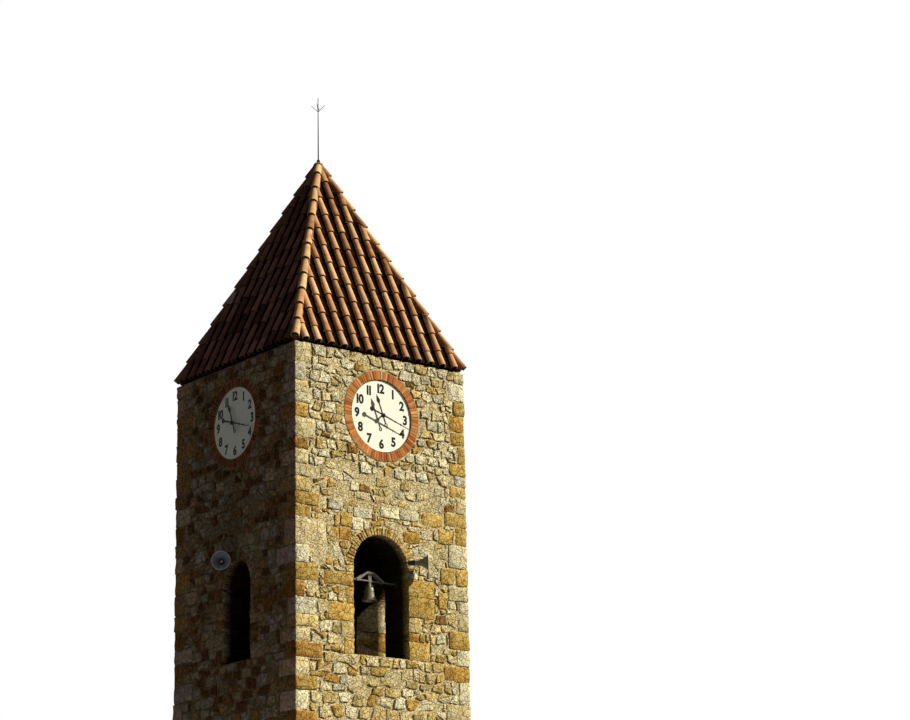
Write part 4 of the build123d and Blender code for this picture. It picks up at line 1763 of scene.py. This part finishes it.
@dataclass
class Clock:
    """One clock: the bricks on edge round the dial, the dial's thin edge, and the numerals."""

    side: Side
    finishes: Finishes
    bricks: int = 84
    edge_radii: tuple[float, float] = (0.676, 0.689)
    numeral_place: float = 0.555
    numeral_drop: float = 0.525
    numeral_height: float = 0.166
    numeral_width: float = 0.92
    numeral_weight: float = 0.010
    numeral_relief: float = 0.001
    capital: float = 0.70

    def build(self) -> None:
        """Builds the brick ring, the edge and the numerals."""
        self.brick_ring()
        self.edge()
        self.numerals()

    def brick_ring(self) -> None:
        """Lays thin bricks on edge in a ring."""
        inner = TOWER.dial_radius + 0.003
        outer = TOWER.dial_radius + TOWER.brick_ring - 0.004
        step = 2 * math.pi / self.bricks
        chance = random.Random(800 + self.side.value)
        thick = (inner + outer) / 2 * step - 0.008
        up = Matrix.Translation((0, 0, TOWER.dial_level))
        stones = []
        for index in range(self.bricks):
            stand = TOWER.half + 0.010 + chance.uniform(-0.003, 0.003)
            reach = outer + chance.uniform(-0.018, 0.006)
            lean = index * step + chance.uniform(-0.004, 0.004)
            place = self.side.turn @ up @ Matrix.Rotation(lean, 4, "Y")
            low = (-thick / 2, -stand, inner)
            stones.append(Bench.wedge(low, (thick / 2, -TOWER.half + 0.03, reach), 0.86, place))
        piece = Bench.join(stones)
        Bench.roughen(piece, 0.003, self.side.value)
        Bench.bevel(piece, 0.005)
        Bench.tone(piece, lambda place: chance.random(), 810 + self.side.value)
        # The left ring takes the darker brick: painted shade.
        finish = self.finishes.old_brick if self.side is Side.LEFT else self.finishes.brick
        Bench.hand_over(piece, f"{self.side.word}_ring_bricks", finish, "brick")

    def edge(self) -> None:
        """Turns the thin dark bead between the dial and the bricks, dark all round as a painted shadow
        line at the dial's recess.
        """
        high = TOWER.dial_recess - 0.006
        inner, outer = self.edge_radii
        ring = [(inner, 0.0), (outer, 0.0), (outer, high), (outer - 0.005, high + 0.004), (inner, high)]
        piece = Lathe.turn([*ring, ring[0]], 96)
        face = Matrix.Translation((0, -TOWER.half + TOWER.dial_recess, TOWER.dial_level))
        piece.data.transform(self.side.turn @ face @ Matrix.Rotation(math.pi / 2, 4, "X"))
        Bench.hand_over(piece, f"{self.side.word}_dial_edge", self.finishes.iron, "dial_enamel")

    def numerals(self) -> None:
        """Sets the twelve upright numerals on the dial."""
        figures = []
        face = -TOWER.half + TOWER.dial_recess
        for hour in range(1, 13):
            Bench.put_down()
            bpy.ops.object.text_add()
            text = bpy.context.object
            text.data.body = str(hour).replace("1", "I")
            text.data.align_x = "CENTER"
            text.data.align_y = "CENTER"
            text.data.size = self.numeral_height / self.capital
            text.data.offset = self.numeral_weight
            text.data.space_character = 1.02
            text.data.extrude = self.numeral_relief
            text.data.resolution_u = 4
            bpy.ops.object.convert(target="MESH")
            figure = bpy.context.object
            angle = math.radians(30 * hour)
            across = self.numeral_place * math.sin(angle)
            level = TOWER.dial_level + self.numeral_drop * math.cos(angle)
            narrow = Matrix.Diagonal((self.numeral_width, 1, 1, 1))
            stand = Matrix.Rotation(math.pi / 2, 4, "X") @ narrow
            box = [Vector(corner) for corner in figure.bound_box]
            middle = (Vector(map(min, *box)) + Vector(map(max, *box))) / 2
            place = Matrix.Translation((across, face - 0.0012, level))
            figure.data.transform(self.side.turn @ place @ stand @ Matrix.Translation(-middle))
            figures.append(figure)
        piece = Bench.join(figures)
        Bench.hand_over(piece, f"{self.side.word}_numerals", self.finishes.black, "hand_black")


class Lathe:
    """Turns outlines into round pieces."""

    @staticmethod
    def turn(outline: Outline, sides: int) -> Piece:
        """Turns an outline about the Z axis.

        Args:
            outline: Radius and level of each point; both ends lie on the axis or on each other.
            sides: Sides of the round.

        Returns:
            The closed piece.
        """
        points = [Vector((radius, 0, level)) for radius, level in outline]
        Bench.put_down()
        bpy.ops.mesh.primitive_plane_add(size=0.01)
        piece = bpy.context.object
        Bench.open(piece)
        bpy.ops.mesh.select_mode(type="VERT")
        bpy.ops.mesh.select_all(action="SELECT")
        bpy.ops.mesh.merge(type="CENTER")
        bpy.ops.mesh.select_all(action="SELECT")
        bpy.ops.transform.translate(value=points[0])
        for start, end in zip(points, points[1:]):
            bpy.ops.mesh.extrude_region_move(TRANSFORM_OT_translate={"value": tuple(end - start)})
        bpy.ops.mesh.select_all(action="SELECT")
        bpy.ops.mesh.remove_doubles(threshold=0.00001)
        Bench.put_down()
        whole = {"angle": 2 * math.pi, "steps": sides, "render_steps": sides}
        Bench.apply(piece, "SCREW", use_merge_vertices=True, **whole)
        Bench.open(piece)
        bpy.ops.mesh.remove_doubles(threshold=0.00001)
        bpy.ops.mesh.normals_make_consistent(inside=False)
        Bench.close(piece)
        Bench.smooth(piece)
        return piece

    @staticmethod
    def flare(low: float, high: float, start: float, length: float) -> Outline:
        """The outline of a horn that swells ever faster.

        Args:
            low: Radius at its throat.
            high: Radius at its mouth.
            start: Level of its throat.
            length: Its length.

        Returns:
            Radius and level of each point.
        """
        steps = 14
        rate = 3.5
        made = []
        for step in range(steps + 1):
            share = step / steps
            swell = (math.exp(rate * share) - 1) / (math.exp(rate) - 1)
            made.append((low + (high - low) * swell, start + length * share))
        return made


@dataclass
class Horn:
    """One horn loudspeaker: its flare, its rolled lip, and the driver with its plug."""

    side: Side
    back: Vector
    finishes: Finishes
    paint: Material
    driver: float = 0.130
    length: float = 0.250
    throat: float = 0.050
    mouth: float = 0.168
    skin: float = 0.0035
    bearing: float = math.radians(39.25)
    bead: tuple[tuple[float, float], ...] = (
        (-0.006, -0.004),
        (0.001, -0.006),
        (0.0055, -0.003),
        (0.0055, 0.003),
        (0.001, 0.006),
        (-0.006, 0.004),
        (-0.006, -0.004),
    )

    def build(self) -> None:
        """Builds the three pieces and sets them on their side."""
        end = self.driver + self.length
        thin = self.skin
        outer = Lathe.flare(self.throat, self.mouth, self.driver, self.length)
        inner = Lathe.flare(self.throat - thin, self.mouth - thin, self.driver, self.length)
        flange = [(0.026, self.driver + 0.007), (0.026, self.driver)]
        closing = [(inner[0][0], self.driver + 0.007), flange[0]]
        shell = Lathe.turn([*flange, *outer, *inner[:0:-1], *closing], 48)
        self.hang(shell, "horn", self.paint, "horn_paint", f"{self.side.word}_horn")
        lip = Lathe.turn([(self.mouth + r, end + z) for r, z in self.bead], 48)
        self.hang(lip, "horn_lip", self.finishes.horn_lip, "horn_paint")
        can = [(0.0, 0.0), (0.022, 0.0), (0.034, 0.003), (0.044, 0.014), (0.046, 0.020), (0.046, 0.052)]
        can += [(0.0435, 0.055), (0.0435, 0.061), (0.046, 0.064), (0.046, 0.126), (0.043, 0.130)]
        driver = Lathe.turn([*can, (0.0, 0.130)], 36)
        node = f"{self.side.word}_horn_driver"
        self.hang(driver, "horn_can", self.finishes.driver, "driver_paint", node)
        plug = [(0.0, 0.128), (0.010, 0.128), (0.010, 0.178), (0.016, 0.200), (0.024, 0.236)]
        plug += [(0.026, 0.252), (0.022, 0.267), (0.013, 0.277), (0.0, 0.280)]
        self.hang(Lathe.turn(plug, 24), "horn_plug", self.finishes.horn_lip, "driver_paint")

    def hang(self, piece: Piece, part: str, paint: Material, slot: str, node: str = "") -> None:
        """Lays a piece along the horn's axis on its side and hands it over.

        Args:
            piece: The piece, turned about the Z axis.
            part: Its name after the side's.
            paint: Its finish.
            slot: The record's material slot.
            node: The node that it replaces, if any.
        """
        axis = Vector((math.cos(self.bearing), -math.sin(self.bearing), 0))
        up = Vector((0, 0, 1))
        axes = Matrix((up, axis.cross(up), axis)).transposed().to_4x4()
        piece.data.transform(self.side.turn @ Matrix.Translation(self.back) @ axes)
        Bench.hand_over(piece, f"{self.side.word}_{part}", paint, slot)
        if node:
            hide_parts(node)


@dataclass
class BellWork:
    """The cast bell with its mouldings, crown loops and staple, and the bolts of its yoke."""

    finishes: Finishes
    radius: float = 0.139
    height: float = 0.250

    def build(self) -> None:
        """Builds the bell and the bolts."""
        self.bell()
        self.bolts()

    def place(self) -> Matrix:
        """The middle of the bell's mouth."""
        return Matrix.Translation((TOWER.wide_shift, -TOWER.half + TOWER.wall / 2, TOWER.bell_level))

    def bell(self) -> None:
        """Turns the bell and sets its loops and its staple."""
        r, h = self.radius, self.height
        crown = h - 0.0144
        inner = [(0.0, crown), (0.056, crown), (0.074, 0.88 * h), (0.080, 0.72 * h), (0.088, 0.47 * h)]
        inner += [(0.097, 0.27 * h), (0.110, 0.10 * h), (0.121, 0.0)]
        outer = [(0.137, 0.0), (r, 0.006), (0.136, 0.016), (0.1275, 0.022), (0.1285, 0.026)]
        outer += [(0.1265, 0.030), (0.117, 0.047), (0.1095, 0.062), (0.1105, 0.066), (0.1085, 0.070)]
        outer += [(0.102, 0.092), (0.0972, 0.1175), (0.0925, 0.145), (0.0888, 0.172), (0.0905, 0.178)]
        outer += [(0.0875, 0.184), (0.0855, 0.205), (0.083, 0.220), (0.075, 0.236), (0.062, 0.245)]
        outer += [(0.042, h), (0.036, 0.256), (0.030, 0.300), (0.028, 0.343), (0.0, 0.344)]
        pieces = [Lathe.turn([*inner, *outer], 48)]
        for quarter in range(4):
            loop = Bench.shape(
                bpy.ops.mesh.primitive_torus_add,
                major_radius=0.026,
                minor_radius=0.007,
                major_segments=20,
                minor_segments=8,
                location=(0.034, 0, 0.272),
                rotation=(math.pi / 2, 0, 0),
            )
            loop.data.transform(Matrix.Rotation(math.radians(45 + 90 * quarter), 4, "Z"))
            pieces.append(loop)
        for middle in (-0.0123, 0.0123):
            low = (middle - 0.003, -0.012, 0.198)
            pieces.append(Bench.block(low, (middle + 0.003, 0.012, h - 0.010)))
        pin = Bench.shape(
            bpy.ops.mesh.primitive_cylinder_add,
            vertices=16,
            radius=0.006,
            depth=0.030,
            location=(0, 0, 0.210),
            rotation=(0, math.pi / 2, 0),
        )
        pieces.append(pin)
        bell = Bench.join(pieces)
        bell.data.transform(self.place())
        Bench.smooth(bell)
        Bench.hand_over(bell, "cast_bell", self.finishes.bronze, "bell_bronze", "bell")
        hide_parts("bell")

    def bolts(self) -> None:
        """Sets bolt heads with washers through the yoke's two bars."""
        half = ((0.035, 0.150), (0.190, 0.075), (0.291, 0.0))
        spots = [(-across, up) for across, up in half[::-1]] + list(half)
        places = []
        level = TOWER.axle_level - TOWER.bell_level
        for sign in (-1, 1):
            turn = Matrix.Rotation(sign * math.pi / 2, 4, "X")
            for across, up in spots:
                places.append(Matrix.Translation((across, -sign * 0.042, level + up)) @ turn)
        head = [(0.0, 0.0), (0.015, 0.0), (0.015, 0.003), (0.010, 0.003), (0.010, 0.011), (0.0, 0.012)]
        bolts = Bench.copies(Lathe.turn(head, 12), places)
        bolts.data.transform(self.place())
        Bench.hand_over(bolts, "yoke_bolts", self.finishes.worn, "yoke_iron", "bell")


class Dresser:
    """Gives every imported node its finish."""

    def __init__(self, finishes: Finishes) -> None:
        """Keeps the finishes.

        Args:
            finishes: All the tower's finishes.
        """
        self.finishes = finishes

    def material_for(self, node: str) -> Material:
        """The finish of one node, by its name.

        Args:
            node: The node's name.

        Returns:
            The finish.
        """
        f = self.finishes
        starts = (
            (("shaft_wall", "corner_pier", "arch_head", "arch_ring"), f.mortar),
            (("roof_", "hip_tiles"), f.tile),
            (("apex_cap",), f.cap),
            (("lightning_rod",), f.iron),
            (("ground_floor",), f.flags),
            (("belfry_floor",), f.boards),
            (("axle_bearings",), f.bracket),
            (("bell_yoke", "bell_axle", "bell_clapper"), f.worn),
            (("bell",), f.bronze),
        )
        ends = (
            ("_brick_ring", f.joints),
            ("_dial", f.enamel),
            ("_hand", f.black),
            ("_horn_driver", f.driver),
            ("_horn_bracket", f.bracket),
            ("_horn", f.horn),
        )
        for tail, material in ends:
            if node.endswith(tail):
                return material
        for heads, material in starts:
            if node.startswith(heads):
                return material
        raise ValueError(f"no finish for {node}")

    def dress(self) -> None:
        """Assigns a finish to every node."""
        for name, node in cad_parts.items():
            node.data.materials.clear()
            node.data.materials.append(self.material_for(name))
        LOG.info("dressed %d nodes", len(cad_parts))


@dataclass(frozen=True)
class Studio:
    """A pale floor, soft studio light and the camera at the photograph's angle."""

    place: Colour = (-26.404, -36.441, 0.385)
    yaw: float = 0.685
    pitch: float = 0.281
    roll: float = -0.021
    focal_pixels: float = 2434.3
    frame_width: int = 910
    film: float = 36.0
    sun: float = 7.4
    sun_width: float = math.radians(2.5)
    sun_bearing: float = math.radians(55)
    sun_height: float = math.radians(38)
    sky: float = 0.10

    def build(self) -> None:
        """Builds the camera, the light and the floor."""
        self.camera()
        self.light()
        self.floor()

    def camera(self) -> None:
        """Places the camera by its yaw, pitch and roll."""
        level = Vector((math.cos(self.yaw), -math.sin(self.yaw), 0))
        ahead = self.towards(self.yaw, self.pitch)
        upright = level.cross(ahead)
        right = math.cos(self.roll) * level + math.sin(self.roll) * upright
        up = -math.sin(self.roll) * level + math.cos(self.roll) * upright
        lens = bpy.data.cameras.new("camera")
        lens.sensor_width = self.film
        lens.lens = self.focal_pixels / self.frame_width * self.film
        lens.clip_end = 500.0
        camera = bpy.data.objects.new("camera", lens)
        bpy.context.scene.collection.objects.link(camera)
        axes = Matrix((right, up, -ahead)).transposed().to_4x4()
        camera.matrix_world = Matrix.Translation(self.place) @ axes
        bpy.context.scene.camera = camera

    @staticmethod
    def towards(bearing: float, height: float) -> Vector:
        """The direction at a bearing from +Y and a height over the ground."""
        return Matrix.Rotation(-bearing, 3, "Z") @ Vector((0, math.cos(height), math.sin(height)))

    def light(self) -> None:
        """One soft sun from the front right, and an even sky that shows as white."""
        sun = bpy.data.lights.new("sun", "SUN")
        sun.energy = self.sun
        sun.angle = self.sun_width
        sun.color = (1.0, 0.96, 0.85)
        lamp = bpy.data.objects.new("sun", sun)
        towards = self.towards(math.pi - self.sun_bearing, self.sun_height)
        lamp.rotation_mode = "QUATERNION"
        lamp.rotation_quaternion = towards.to_track_quat("Z", "Y")
        bpy.context.scene.collection.objects.link(lamp)
        world = bpy.data.worlds.new("sky")
        bpy.context.scene.world = world
        world.use_nodes = True
        tree = world.node_tree
        path = tree.nodes.new("ShaderNodeLightPath")
        clear = path.outputs["Is Camera Ray"]
        for ray in ("Is Glossy Ray", "Is Transmission Ray"):
            either = tree.nodes.new("ShaderNodeMath")
            either.operation = "MAXIMUM"
            tree.links.new(clear, either.inputs[0])
            tree.links.new(path.outputs[ray], either.inputs[1])
            clear = either.outputs[0]
        sky = tree.nodes["Background"]
        sky.inputs["Color"].default_value = (0.90, 0.94, 1.0, 1.0)
        sky.inputs["Strength"].default_value = self.sky
        white = tree.nodes.new("ShaderNodeBackground")
        white.inputs["Color"].default_value = (1.0, 1.0, 1.0, 1.0)
        blend = tree.nodes.new("ShaderNodeMixShader")
        for index, socket in enumerate((clear, sky.outputs[0], white.outputs[0])):
            tree.links.new(socket, blend.inputs[index])
        tree.links.new(blend.outputs[0], tree.nodes["World Output"].inputs["Surface"])
        bpy.context.scene.view_settings.view_transform = "Standard"

    def floor(self) -> None:
        """A pale floor under the tower."""
        Bench.put_down()
        bpy.ops.mesh.primitive_plane_add(size=14.0, location=(0, 0, -0.002))
        floor = bpy.context.object
        floor.name = "floor"
        mix = Recipe("studio_floor")
        floor.data.materials.append(mix.finish((0.44, 0.44, 0.43), 0.9))


def main() -> None:
    """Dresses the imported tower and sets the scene."""
    logging.basicConfig(level=logging.INFO, format="%(message)s")
    finishes = Finishes()
    Dresser(finishes).dress()
    Masonry(finishes).build()
    TiledRoof(finishes).build()
    for side in (Side.FRONT, Side.LEFT):
        Clock(side, finishes).build()
    Horn(Side.FRONT, Vector((0.520, -2.002, 9.165)), finishes, finishes.horn).build()
    Horn(Side.LEFT, Vector((-0.242, -2.022, 9.235)), finishes, finishes.horn_pale).build()
    BellWork(finishes).build()
    Studio().build()


if __name__ == "__main__":
    main()
